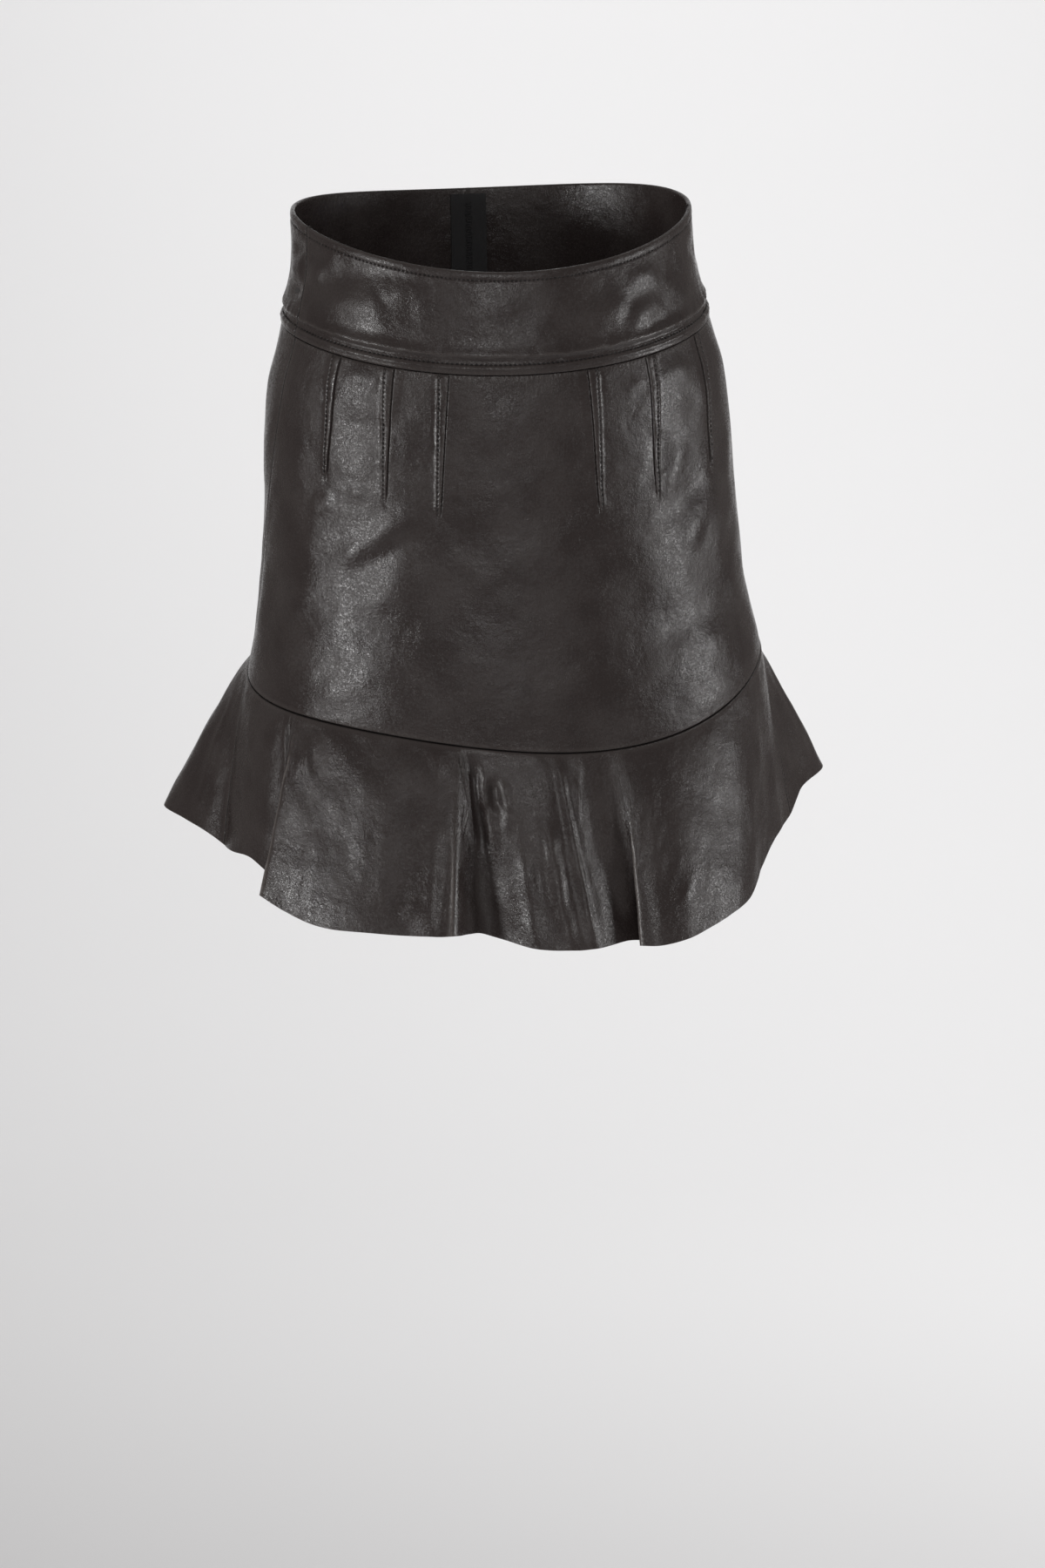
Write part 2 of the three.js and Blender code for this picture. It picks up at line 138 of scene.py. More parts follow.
class SkirtTube:
    """The ring of the worn skirt at each height: half width and the depths in front and behind."""

    COLUMNS = ("z", "width", "front", "back")
    ROWS = np.array(
        [
            (-330, 173, 117, 128),
            (-272, 168, 115, 127),
            (-243, 162, 113, 127),
            (-209, 156.5, 111, 127),
            (-163, 153, 109, 126),
            (-117, 150.5, 108, 122),
            (-82, 147, 106, 117),
            (-59, 140.8, 104, 113),
            (-36, 134.8, 102, 109),
            (-7, 128.8, 99, 104),
            (30, 127.5, 96, 101),
            (45, 127.5, 96, 101),
        ],
        float,
    )

    def size(self, z: Array, column: str) -> Array:
        """One column of the table at the heights z."""
        return monotone(self.ROWS[:, 0], self.ROWS[:, self.COLUMNS.index(column)], z)

    def point(self, t: Array, z: Array) -> Array:
        """Points of the tube's middle surface, shape (..., 3)."""
        t, z = np.broadcast_arrays(np.asarray(t, float), np.asarray(z, float))
        c = np.cos(np.radians(t))
        depth = np.where(c > 0, self.size(z, "front"), self.size(z, "back"))
        x = self.size(z, "width") * np.sin(np.radians(t))
        return np.stack([x, -depth * c, z], -1)

    def normal(self, t: Array, z: Array) -> Array:
        """Outward unit normals of the tube."""
        across = self.point(t + 0.5, z) - self.point(t - 0.5, z)
        down = self.point(t, z - 0.5) - self.point(t, z + 0.5)
        n = np.cross(down, across)
        return n / np.linalg.norm(n, axis=-1, keepdims=True)

    def per_degree(self, t: Array, z: Array) -> Array:
        """Millimetres along the ring for one degree."""
        return np.linalg.norm(self.point(t + 0.5, z) - self.point(t - 0.5, z), axis=-1)

    def arc(self, t: Array, z: float = HIP_LEVEL) -> Array:
        """Length round the ring at the height z from the centre front, signed."""
        table = np.arange(-181.0, 362.0, 1.0)
        steps = self.per_degree(table[:-1] + 0.5, z)
        length = np.concatenate([[0.0], np.cumsum(steps)])
        length -= np.interp(0.0, table, length)
        return np.interp(t, table, length)

    def arc_angle(self, length: Array, z: float) -> Array:
        """The angle at which the ring at the height z has this length from the centre front."""
        table = np.arange(-181.0, 362.0, 0.5)
        return np.interp(length, self.arc(table, z), table)


TUBE = SkirtTube()


@dataclass(frozen=True)
class Crease:
    """A soft trough, or with a negative depth a ridge, that runs along a bent line of the leather.

    Its ends are an angle round the skirt and a height in millimetres. On the flounce the height is counted down
    from the flounce seam.
    """

    start: tuple[float, float]
    end: tuple[float, float]
    width: float
    depth: float
    bow: float = 0.0
    lip: float = 0.45

    def relief(self, x: Array, z: Array, place: Callable[[float], float] | None = None) -> Array:
        """Height to add at flat positions x (millimetres round the skirt) and z.

        Args:
            x: length round the skirt from the centre front.
            z: height.
            place: turns an end's angle into its x, the hip ring's length if left out.

        Returns:
            Heights in millimetres, negative in the trough.
        """
        place = place or TUBE.arc
        a = np.array([float(place(self.start[0])), self.start[1]])
        b = np.array([float(place(self.end[0])), self.end[1]])
        along = b - a
        length = float(np.hypot(*along))
        side = np.array([-along[1], along[0]]) / length
        u = ((x - a[0]) * along[0] + (z - a[1]) * along[1]) / length**2
        away = (x - a[0]) * side[0] + (z - a[1]) * side[1]
        path = self.bow * 4 * u * (1 - u)
        d = (away - path) / self.width
        ends = smooth(u / 0.3) * smooth((1 - u) / 0.3)
        trough = bell(d, 1.0)
        beside = bell(np.abs(d) - 1.9, 1.0)
        return -self.depth * ends * (trough - self.lip * beside)


def creases(*rows: tuple[float, ...]) -> tuple[Crease, ...]:
    """Creases from rows of start angle, start height, end angle, end height, width, depth, bow and lip."""
    return tuple(Crease(tuple(row[:2]), tuple(row[2:4]), *row[4:]) for row in rows)


def unevenness(x: Array, z: Array, seed: int, waves: tuple[tuple[float, float], ...]) -> Array:
    """Soft irregular swell of hanging leather.

    Args:
        x: length round the skirt.
        z: height.
        seed: fixes the draw, so that each run gives the same swell.
        waves: pairs of wavelength and height in millimetres.

    Returns:
        Heights in millimetres.
    """
    draw = np.random.RandomState(seed)
    total = np.zeros(np.broadcast(x, z).shape)
    for length, height in waves:
        for _ in range(5):
            angle = draw.uniform(0, math.pi)
            phase = draw.uniform(0, 2 * math.pi)
            stretch = draw.uniform(0.75, 1.35)
            k = 2 * math.pi / (length * stretch)
            total += height / 5 * np.sin(k * (x * math.cos(angle) + z * math.sin(angle)) + phase)
    return total


def edge_rows(radius: float = SEAM_ROLL) -> list[tuple[float, float]]:
    """Points across a sewn edge, from the flange that stands inwards, round its roll and onto the face.

    Args:
        radius: how round the turned edge is.

    Returns:
        Pairs of distance from the seam and drop below the face.
    """
    rows = [(0.0, -SEAM_FLANGE), (0.0, -0.5 * (SEAM_FLANGE + radius))]
    for step in range(6):
        a = math.radians(18 * step)
        rows.append((radius * (1 - math.cos(a)), -radius * (1 - math.sin(a))))
    return rows


def edge_distances(radius: float = SEAM_ROLL) -> Array:
    """The distances of edge_rows."""
    return np.array([row[0] for row in edge_rows(radius)])


def edge_drops(count: int, both: bool = True, radius: float = SEAM_ROLL) -> Array:
    """Drop of each of a grid's lines, which has a sewn edge at its start and perhaps at its end."""
    drops = np.zeros(count)
    edge = np.array([row[1] for row in edge_rows(radius)])
    drops[: len(edge)] = edge
    if both:
        drops[count - len(edge) :] = edge[::-1]
    return drops


def join_drops(down: Array, across: Array) -> Array:
    """Drop of every point of a grid from the drops of its rows and columns, no deeper than a flange."""
    total = np.hypot(down[:, None], across[None, :])
    return -np.minimum(total, SEAM_FLANGE + 0.05 * total)


class Slot(Enum):
    """The record's material slots."""

    LEATHER = "leather"
    TAPE = "tape"
    METAL = "metal"


def new_piece(name: str, bm: bmesh.types.BMesh, materials: list[bpy.types.Material]) -> bpy.types.Object:
    """Turns a bmesh into a smooth object at the origin.

    Args:
        name: the object's name.
        bm: the shape, which is freed.
        materials: the object's materials.

    Returns:
        The new object.
    """
    for face in bm.faces:
        face.smooth = True
    mesh = bpy.data.meshes.new(name)
    bm.to_mesh(mesh)
    bm.free()
    for material in materials:
        mesh.materials.append(material)
    piece = bpy.data.objects.new(name, mesh)
    bpy.context.scene.collection.objects.link(piece)
    return piece


def leather_name(node: str) -> str:
    """The name of the leather piece that stands for a node."""
    return node + "_leather"


def belong(pieces: list[bpy.types.Object]) -> None:
    """Puts pieces on the skirt's body."""
    for piece in pieces:
        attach(piece, SKIRT_BODY)


# ---- shader groups ----
def new_group(name: str, inputs: list[tuple[str, str, float]], outputs: list[tuple[str, str]]):
    """An empty shader node group with named sockets.

    Args:
        name: the group's name.
        inputs: name, socket type and default of each input.
        outputs: name and socket type of each output.

    Returns:
        The group, its input node and its output node.
    """
    group = bpy.data.node_groups.new(name, "ShaderNodeTree")
    for label, kind, default in inputs:
        socket = group.interface.new_socket(name=label, in_out="INPUT", socket_type=kind)
        if kind == "NodeSocketFloat":
            socket.default_value = default
    for label, kind in outputs:
        group.interface.new_socket(name=label, in_out="OUTPUT", socket_type=kind)
    return group, group.nodes.new("NodeGroupInput"), group.nodes.new("NodeGroupOutput")


class Wiring:
    """Short words for adding and linking nodes in one tree."""

    def __init__(self, tree: bpy.types.NodeTree) -> None:
        """Keeps the tree."""
        self.tree = tree

    def node(self, kind: str, **values: object) -> bpy.types.Node:
        """Adds a node and sets its properties."""
        made = self.tree.nodes.new(kind)
        for key, value in values.items():
            setattr(made, key, value)
        return made

    def link(self, source: bpy.types.NodeSocket, target: bpy.types.NodeSocket) -> None:
        """Links two sockets."""
        self.tree.links.new(source, target)

    def feed(self, target: bpy.types.NodeSocket, value: object) -> None:
        """Gives a socket a link or a plain value."""
        if isinstance(value, bpy.types.NodeSocket):
            self.link(value, target)
        else:
            target.default_value = value

    def math(self, operation: str, a: object, b: object = 0.0, clamp: bool = False) -> bpy.types.NodeSocket:
        """A Math node's result."""
        made = self.node("ShaderNodeMath", operation=operation, use_clamp=clamp)
        self.feed(made.inputs[0], a)
        self.feed(made.inputs[1], b)
        return made.outputs[0]

    def span(
        self, value: object, low: float, high: float, to_low: float, to_high: float
    ) -> bpy.types.NodeSocket:
        """A clamped, eased Map Range node's result."""
        made = self.node("ShaderNodeMapRange", interpolation_type="SMOOTHSTEP")
        self.feed(made.inputs[0], value)
        for index, number in enumerate((low, high, to_low, to_high), 1):
            made.inputs[index].default_value = number
        return made.outputs[0]

    def noise(
        self, vector: object, scale: float, detail: float = 3.0, rough: float = 0.55
    ) -> bpy.types.NodeSocket:
        """A Noise Texture's factor."""
        made = self.node("ShaderNodeTexNoise")
        self.link(vector, made.inputs["Vector"])
        made.inputs["Scale"].default_value = scale
        made.inputs["Detail"].default_value = detail
        made.inputs["Roughness"].default_value = rough
        return made.outputs["Fac"]

    def bump(self, height: object, depth: float, shader: bpy.types.Node) -> None:
        """Feeds a height of this depth in millimetres to the shader's normal."""
        made = self.node("ShaderNodeBump")
        made.inputs["Strength"].default_value = 1.0
        made.inputs["Distance"].default_value = depth * MM
        self.link(height, made.inputs["Height"])
        self.link(made.outputs[0], shader.inputs["Normal"])

    def colour_mix(self, share: object, a: object, b: object) -> bpy.types.NodeSocket:
        """A colour Mix node's result."""
        made = self.node("ShaderNodeMix", data_type="RGBA")
        self.feed(made.inputs[0], share)
        self.feed(made.inputs[6], a)
        self.feed(made.inputs[7], b)
        return made.outputs[2]


def new_material(name: str) -> tuple[bpy.types.Material, Wiring, bpy.types.Node]:
    """A new material with the wiring of its nodes and its shader."""
    material = bpy.data.materials.new(name)
    material.use_nodes = True
    return material, Wiring(material.node_tree), material.node_tree.nodes["Principled BSDF"]


def grain_group() -> bpy.types.NodeTree:
    """Leather grain: pebbles and the finer and broader swells round them, with masks of lines and patches."""
    group, inside, outside = new_group(
        "leather_grain",
        [("Vector", "NodeSocketVector", 0.0), ("Pebble Scale", "NodeSocketFloat", 760.0)],
        [(name, "NodeSocketFloat") for name in ("Height", "Crinkle", "Patch", "Cluster")],
    )
    w = Wiring(group)
    vector = inside.outputs["Vector"]
    bend = w.node("ShaderNodeTexNoise")
    w.link(vector, bend.inputs["Vector"])
    bend.inputs["Scale"].default_value = 230.0
    bend.inputs["Detail"].default_value = 2.0
    offset = w.node("ShaderNodeVectorMath", operation="SCALE")
    w.link(bend.outputs["Color"], offset.inputs[0])
    offset.inputs["Scale"].default_value = 0.0011
    moved = w.node("ShaderNodeVectorMath", operation="ADD")
    w.link(vector, moved.inputs[0])
    w.link(offset.outputs[0], moved.inputs[1])
    pebble = w.node("ShaderNodeTexVoronoi", feature="SMOOTH_F1")
    w.link(moved.outputs[0], pebble.inputs["Vector"])
    w.link(inside.outputs["Pebble Scale"], pebble.inputs["Scale"])
    pebble.inputs["Smoothness"].default_value = 0.35
    dome = w.span(pebble.outputs["Distance"], 0.05, 0.72, 1.0, 0.0)
    fine = w.noise(moved.outputs[0], 2300.0, 3.0, 0.6)
    broad = w.noise(vector, 520.0, 4.0, 0.6)
    crinkle = w.node("ShaderNodeTexNoise", noise_dimensions="3D")
    w.link(moved.outputs[0], crinkle.inputs["Vector"])
    crinkle.inputs["Scale"].default_value = 85.0
    crinkle.inputs["Detail"].default_value = 5.0
    crinkle.inputs["Distortion"].default_value = 0.9
    fold = w.math("ABSOLUTE", w.math("SUBTRACT", crinkle.outputs["Fac"], 0.5))
    line = w.span(fold, 0.0, 0.045, 1.0, 0.0)
    patch = w.noise(vector, 26.0, 3.0, 0.55)
    height = w.math("MULTIPLY", dome, 0.6)
    height = w.math("ADD", height, w.math("MULTIPLY", fine, 0.3))
    height = w.math("ADD", height, w.math("MULTIPLY", broad, 1.3))
    height = w.math("ADD", height, w.math("MULTIPLY", w.noise(vector, 80.0, 3.0, 0.55), 8.0))
    height = w.math("SUBTRACT", height, w.math("MULTIPLY", line, 0.06))
    w.link(height, outside.inputs["Height"])
    w.link(line, outside.inputs["Crinkle"])
    w.link(broad, outside.inputs["Cluster"])
    w.link(patch, outside.inputs["Patch"])
    return group


@dataclass(frozen=True)
class LeatherFinish:
    """Dyed and lightly glossed grain leather."""

    name: str = "black_nappa"
    colour: tuple[float, float, float] = (0.037, 0.0285, 0.027)
    # the colour of rubbed and randomly faded places; on edges and ridges this lighter colour is painted
    # highlight
    worn: tuple[float, float, float] = (0.062, 0.052, 0.049)
    # the colour of scuffs on rubbed edges, and the painted highlight along fold edges, seam rolls and dart
    # ridges
    scuffed_and_lit: tuple[float, float, float] = (0.19, 0.172, 0.163)
    rough_low: float = 0.19
    rough_high: float = 0.33
    pebble: float = 1900.0
    relief: float = 0.09
    hole_depth: float = 3.0
    bridge_height: float = 0.9
    line_dark: tuple[float, float, float] = (0.012, 0.0105, 0.01)
    # painted shade: the colour that needle holes and the bottoms of seam grooves are darkened to
    hole_shade: tuple[float, float, float] = (0.003, 0.003, 0.003)

    def build(self, grain: bpy.types.NodeTree) -> bpy.types.Material:
        """Makes the material.

        Args:
            grain: the shared grain group.

        Returns:
            The leather material, which reads the sheet's own UV map and its mask of rubbed places, which also
            paints highlights onto edges and ridges.
        """
        material, w, shader = new_material(self.name)
        uv = w.node("ShaderNodeUVMap", uv_map="cloth")
        wear_and_highlight = w.node("ShaderNodeAttribute", attribute_name="wear_and_highlight")
        made = w.node("ShaderNodeGroup", node_tree=grain)
        w.link(uv.outputs[0], made.inputs["Vector"])
        made.inputs["Pebble Scale"].default_value = self.pebble
        height, line, patch = made.outputs["Height"], made.outputs["Crinkle"], made.outputs["Patch"]
        hole, bridge = self.stitch_marks(w)
        # rubbed places lighten the colour; on the edges and ridges this mask marks, the lighter colour is
        # painted highlight
        rubbed_and_lit = w.math("MULTIPLY", wear_and_highlight.outputs["Fac"], w.span(height, 0.35, 0.95, 0.35, 1.0))
        faded_and_lit = w.math("ADD", rubbed_and_lit, w.span(patch, 0.35, 0.68, 0.0, 0.5), clamp=True)
        base = w.colour_mix(faded_and_lit, (*self.colour, 1), (*self.worn, 1))
        # the strongest marks turn much lighter: scuffs from rubbing, and painted highlight along fold edges,
        # seam rolls and dart ridges
        scuff_and_highlight = w.span(wear_and_highlight.outputs["Fac"], 0.8, 1.0, 0.0, 0.85)
        scuff_and_highlight = w.math("MULTIPLY", scuff_and_highlight, w.span(made.outputs["Cluster"], 0.35, 0.6, 0.35, 1.0))
        base = w.colour_mix(scuff_and_highlight, base, (*self.scuffed_and_lit, 1))
        dark = w.math("MULTIPLY", line, 0.12)
        base = w.colour_mix(dark, base, (*self.line_dark, 1))
        # needle holes and seam grooves darkened in the colour: painted shade in these recesses
        base = w.colour_mix(w.math("MULTIPLY", hole, 0.9), base, (*self.hole_shade, 1))
        w.link(base, shader.inputs["Base Color"])
        rough = w.span(patch, 0.3, 0.72, self.rough_low, self.rough_high)
        rough = w.math("SUBTRACT", rough, w.math("MULTIPLY", rubbed_and_lit, 0.1))
        rough = w.math("ADD", rough, w.math("MULTIPLY", line, 0.04))
        rough = w.math("ADD", rough, w.span(made.outputs["Cluster"], 0.38, 0.62, 0.07, -0.07))
        rough = w.math("ADD", rough, w.math("MULTIPLY", hole, 0.4))
        w.link(rough, shader.inputs["Roughness"])
        height = w.math("SUBTRACT", height, w.math("MULTIPLY", hole, self.hole_depth))
        height = w.math("ADD", height, w.math("MULTIPLY", bridge, self.bridge_height))
        w.bump(height, self.relief, shader)
        return material

    @staticmethod
    def stitch_marks(w: Wiring) -> tuple[bpy.types.NodeSocket, bpy.types.NodeSocket]:
        """Masks of the needle holes and of the leather drawn up between them, from the sheet's marks."""
        sewn = w.node("ShaderNodeAttribute", attribute_name="sewn").outputs["Fac"]
        run = w.node("ShaderNodeAttribute", attribute_name="run").outputs["Fac"]
        turn = w.math("SUBTRACT", w.math("MULTIPLY", run, 2 * math.pi / STITCH_PITCH), math.pi)
        beat = w.math("ADD", w.math("MULTIPLY", w.math("COSINE", turn), 0.5), 0.5)
        hole = w.math("MULTIPLY", w.math("POWER", beat, 2.0), w.math("POWER", sewn, 1.5))
        bridge = w.math("MULTIPLY", w.math("SUBTRACT", 1.0, beat), sewn)
        return hole, bridge


@dataclass(frozen=True)
class SuedeFinish:
    """The napped flesh side and the cut edge of the leather."""

    name: str
    colour: tuple[float, float, float]
    nap: float = 0.12
    sheen: float = 0.15

    def build(self) -> bpy.types.Material:
        """Makes the material from two sizes of noise on the sheet's own UV map."""
        material, w, shader = new_material(self.name)
        uv = w.node("ShaderNodeUVMap", uv_map="cloth")
        fine = w.noise(uv.outputs[0], 1900.0, 4.0, 0.7)
        broad = w.noise(uv.outputs[0], 120.0, 3.0, 0.6)
        light = tuple(min(1.0, c * 1.35) for c in self.colour)
        share = w.math("ADD", w.math("MULTIPLY", fine, 0.6), w.math("MULTIPLY", broad, 0.4))
        base = w.colour_mix(w.span(share, 0.3, 0.7, 0.0, 1.0), (*self.colour, 1), (*light, 1))
        w.link(base, shader.inputs["Base Color"])
        shader.inputs["Roughness"].default_value = 0.92
        shader.inputs["Sheen Weight"].default_value = self.sheen
        w.bump(fine, self.nap, shader)
        return material


@dataclass(frozen=True)
class ThreadFinish:
    """Twisted sewing thread, and the woven tape of the zip."""

    name: str
    colour: tuple[float, float, float]
    twist: float = 2600.0

    def build(self) -> bpy.types.Material:
        """Makes the material from a wave across the strands."""
        material, w, shader = new_material(self.name)
        place = w.node("ShaderNodeTexCoord")
        turn = w.node("ShaderNodeMapping")
        turn.inputs["Rotation"].default_value = (0.3, 0.5, 0.7)
        w.link(place.outputs["Object"], turn.inputs["Vector"])
        wave = w.node("ShaderNodeTexWave")
        w.link(turn.outputs[0], wave.inputs["Vector"])
        wave.inputs["Scale"].default_value = self.twist
        wave.inputs["Distortion"].default_value = 1.5
        light = tuple(min(1.0, c * 2.2) for c in self.colour)
        w.link(w.colour_mix(wave.outputs["Fac"], (*self.colour, 1), (*light, 1)), shader.inputs["Base Color"])
        shader.inputs["Roughness"].default_value = 0.62
        w.bump(wave.outputs["Fac"], 0.06, shader)
        return material


@dataclass(frozen=True)
class LacquerFinish:
    """Black lacquered zip metal with rubbed places."""

    name: str = "lacquered_zip_metal"
    colour: tuple[float, float, float] = (0.02, 0.02, 0.021)
    bare: tuple[float, float, float] = (0.32, 0.31, 0.3)

    def build(self) -> bpy.types.Material:
        """Makes the material on object coordinates."""
        material, w, shader = new_material(self.name)
        place = w.node("ShaderNodeTexCoord")
        speck = w.noise(place.outputs["Object"], 900.0, 5.0, 0.7)
        worn = w.span(speck, 0.66, 0.74, 0.0, 1.0)
        w.link(w.colour_mix(worn, (*self.colour, 1), (*self.bare, 1)), shader.inputs["Base Color"])
        w.link(worn, shader.inputs["Metallic"])
        w.link(w.span(speck, 0.3, 0.7, 0.28, 0.44), shader.inputs["Roughness"])
        w.bump(speck, 0.03, shader)
        return material


@dataclass
class Finishes:
    """Every material of the skirt, built once."""

    leather: bpy.types.Material
    flesh: bpy.types.Material
    cut_edge: bpy.types.Material
    thread: bpy.types.Material
    tape: bpy.types.Material
    metal: bpy.types.Material

    @classmethod
    def build(cls) -> "Finishes":
        """Makes all the finishes."""
        return cls(
            leather=LeatherFinish().build(grain_group()),
            flesh=SuedeFinish("flesh_side", (0.03, 0.027, 0.026)).build(),
            cut_edge=SuedeFinish("cut_edge", (0.05, 0.045, 0.043), nap=0.08).build(),
            thread=ThreadFinish("black_thread", (0.012, 0.011, 0.011)).build(),
            tape=ThreadFinish("zip_tape_weave", (0.018, 0.018, 0.019), twist=1400.0).build(),
            metal=LacquerFinish().build(),
        )


# ---- sheets of leather ----
def grid_normals(points: Array, before: Array | None = None, after: Array | None = None) -> Array:
    """Outward normals of a grid of points whose rows run down and whose columns run towards +angle.

    Args:
        points: shape (rows, columns, 3).
        before: the column beside the first, for a seam shared with a neighbour.
        after: the column beside the last.

    Returns:
        Unit normals of the same shape.
    """
    left = points[:, :1] if before is None else before[:, None]
    right = points[:, -1:] if after is None else after[:, None]
    wide = np.concatenate([left, points, right], 1)
    across = wide[:, 2:] - wide[:, :-2]
    tall = np.concatenate([points[:1], points, points[-1:]], 0)
    down = tall[2:] - tall[:-2]
    n = np.cross(down, across)
    return n / np.maximum(np.linalg.norm(n, axis=-1, keepdims=True), 1e-9)


def edge_wear_and_highlight(distance: Array) -> Array:
    """Wear of the rolled edge beside a seam, from 0 to 1, which also paints the highlight that the rolled edge
    catches.
    """
    return 0.75 * bell(distance - 1.5, 1.0)


def seam_marks(sewn: Array, run: Array, distance: Array) -> tuple[Array, Array]:
    """Marks the bottom of a seam's groove as a needle hole, so that the leather paints shade into the groove as
    dark as into a hole.

    Args:
        sewn: nearness to the stitches so far.
        run: length along them so far.
        distance: distance from the piece's edge.

    Returns:
        Both with the groove added.
    """
    near = bell(distance, 0.5)
    return np.maximum(sewn, near), np.where(near > sewn, STITCH_PITCH / 2, run)


def running_length(points: Array) -> Array:
    """Length along a run of points, from 0 at the first."""
    return np.concatenate([[0.0], np.cumsum(np.linalg.norm(np.diff(points, axis=0), axis=-1))])


def real_size_uv(points: Array) -> Array:
    """UVs in metres that follow the lengths of the sheet along its middle row and column."""
    u = running_length(points[points.shape[0] // 2])
    v = running_length(points[:, points.shape[1] // 2])
    return np.stack(np.broadcast_arrays(u[None, :] * MM, -v[:, None] * MM), -1)


class Sheet:
    """One cut piece of leather: a grid laid on its form, given its thickness and dressed."""

    def __init__(
        self,
        name: str,
        points: Array,
        uv: Array,
        wear_and_highlight: Array,
        sewn: Array | None = None,
        run: Array | None = None,
    ) -> None:
        """Keeps the outer surface of the piece.

        Args:
            name: the piece's name.
            points: outer surface in millimetres, shape (rows, columns, 3), rows from the top down.
            uv: the same grid laid flat, in metres.
            wear_and_highlight: how rubbed each point is, from 0 to 1; on edges and ridges it also paints a
                highlight.
            sewn: how near each point is to a line of stitches, from 0 to 1.
            run: length along that line in millimetres.
        """
        self.name = name
        self.points = points
        self.uv = uv
        none = np.zeros(points.shape[:2])
        sewn = none if sewn is None else sewn
        run = none if run is None else run
        self.marks = {"wear_and_highlight": wear_and_highlight, "sewn": sewn, "run": run}

    def build(self, thickness: float, finishes: Finishes) -> bpy.types.Object:
        """Makes the mesh.

        Args:
            thickness: how thick the leather is, measured inwards.
            finishes: the materials.

        Returns:
            The object, at the origin, with its thickness applied.
        """
        rows, columns = self.points.shape[:2]
        bm = bmesh.new()
        bmesh.ops.create_grid(bm, x_segments=columns - 1, y_segments=rows - 1, size=1.0)
        mesh = bpy.data.meshes.new(self.name)
        bm.to_mesh(mesh)
        bm.free()
        count = len(mesh.vertices)
        flat = np.zeros(count * 3)
        mesh.vertices.foreach_get("co", flat)
        flat = flat.reshape(-1, 3)
        j = np.rint((flat[:, 0] + 1) / 2 * (columns - 1)).astype(int)
        i = rows - 1 - np.rint((flat[:, 1] + 1) / 2 * (rows - 1)).astype(int)
        mesh.vertices.foreach_set("co", (self.points[i, j] * MM).ravel())
        corner = np.zeros(len(mesh.loops), int)
        mesh.loops.foreach_get("vertex_index", corner)
        layer = mesh.uv_layers.new(name="cloth")
        layer.data.foreach_set("uv", self.uv[i[corner], j[corner]].ravel())
        for label, values in self.marks.items():
            mark = mesh.attributes.new(label, "FLOAT", "POINT")
            mark.data.foreach_set("value", np.broadcast_to(values, (rows, columns))[i, j])
        for material in (finishes.leather, finishes.flesh, finishes.cut_edge):
            mesh.materials.append(material)
        mesh.polygons.foreach_set("use_smooth", np.ones(len(mesh.polygons), bool))
        piece = bpy.data.objects.new(self.name, mesh)
        bpy.context.scene.collection.objects.link(piece)
        wall = piece.modifiers.new("thickness", "SOLIDIFY")
        wall.thickness = thickness * MM
        wall.offset = -1.0
        wall.use_even_offset = False
        wall.material_offset = 1
        wall.material_offset_rim = 2
        return self.settle(piece)

    @staticmethod
    def settle(piece: bpy.types.Object) -> bpy.types.Object:
        """Applies the modifiers and marks the rim's edges sharp."""
        bpy.context.view_layer.update()
        graph = bpy.context.evaluated_depsgraph_get()
        made = bpy.data.meshes.new_from_object(piece.evaluated_get(graph))
        piece.modifiers.clear()
        piece.data = made
        bm = bmesh.new()
        bm.from_mesh(made)
        for edge in bm.edges:
            faces = edge.link_faces
            if len(faces) == 2 and faces[0].material_index != faces[1].material_index:
                edge.smooth = False
        bm.to_mesh(made)
        bm.free()
        return piece


@dataclass(frozen=True)
class StitchStyle:
    """The look of one row of machine stitches."""

    length: float = 1.9
    radius: float = 0.34
    sink: float = 0.24


def lay_stitches(
    name: str, rows: list[tuple[Array, Array]], finishes: Finishes, style: StitchStyle = StitchStyle()
) -> bpy.types.Object:
    """Small rounded threads sunk into the leather.

    Args:
        name: the piece's name.
        rows: for each row of stitches their middles and the outward normals there, in millimetres.
        finishes: the materials.
        style: the size of a stitch.

    Returns:
        The object that holds all the stitches of these rows.
    """
    bm = bmesh.new()
    for points, normals in rows:
        ahead = np.gradient(points, axis=0)
        for spot, way, out in zip(points, ahead, normals):
            up = Vector(out).normalized()
            side = up.cross(Vector(way)).normalized()
            turn = Matrix((side, up, side.cross(up))).transposed().to_4x4()
            middle = Vector(spot) - up * style.sink
            size = Matrix.Diagonal((style.radius * MM, style.radius * MM, style.length / 2 * MM, 1))
            place = Matrix.Translation(middle * MM) @ turn @ size
            bmesh.ops.create_uvsphere(bm, u_segments=8, v_segments=5, radius=1.0, matrix=place)
    return new_piece(name, bm, [finishes.thread])


def gathers(along: Array, across: Array, seed: int, reach: float = 4.5, height: float = 1.0) -> Array:
    """Soft uneven puckers beside a stitched line.

    Args:
        along: length along the line.
        across: distance from the line.
        seed: fixes the gathers.
        reach: how far to each side they go.
        height: a factor on their height.

    Returns:
        Heights in millimetres.
    """
    draw = np.random.RandomState(seed)
    total = np.zeros(np.broadcast(along, across).shape)
    for length, rise in ((6.8, 0.1), (9.5, 0.12), (15.0, 0.12), (27.0, 0.12)):
        phase = draw.uniform(0, 2 * math.pi)
        slant = draw.uniform(-0.6, 0.6)
        total += rise * np.sin(2 * math.pi * (along + slant * across) / length + phase)
    return height * total * bell(across, reach)


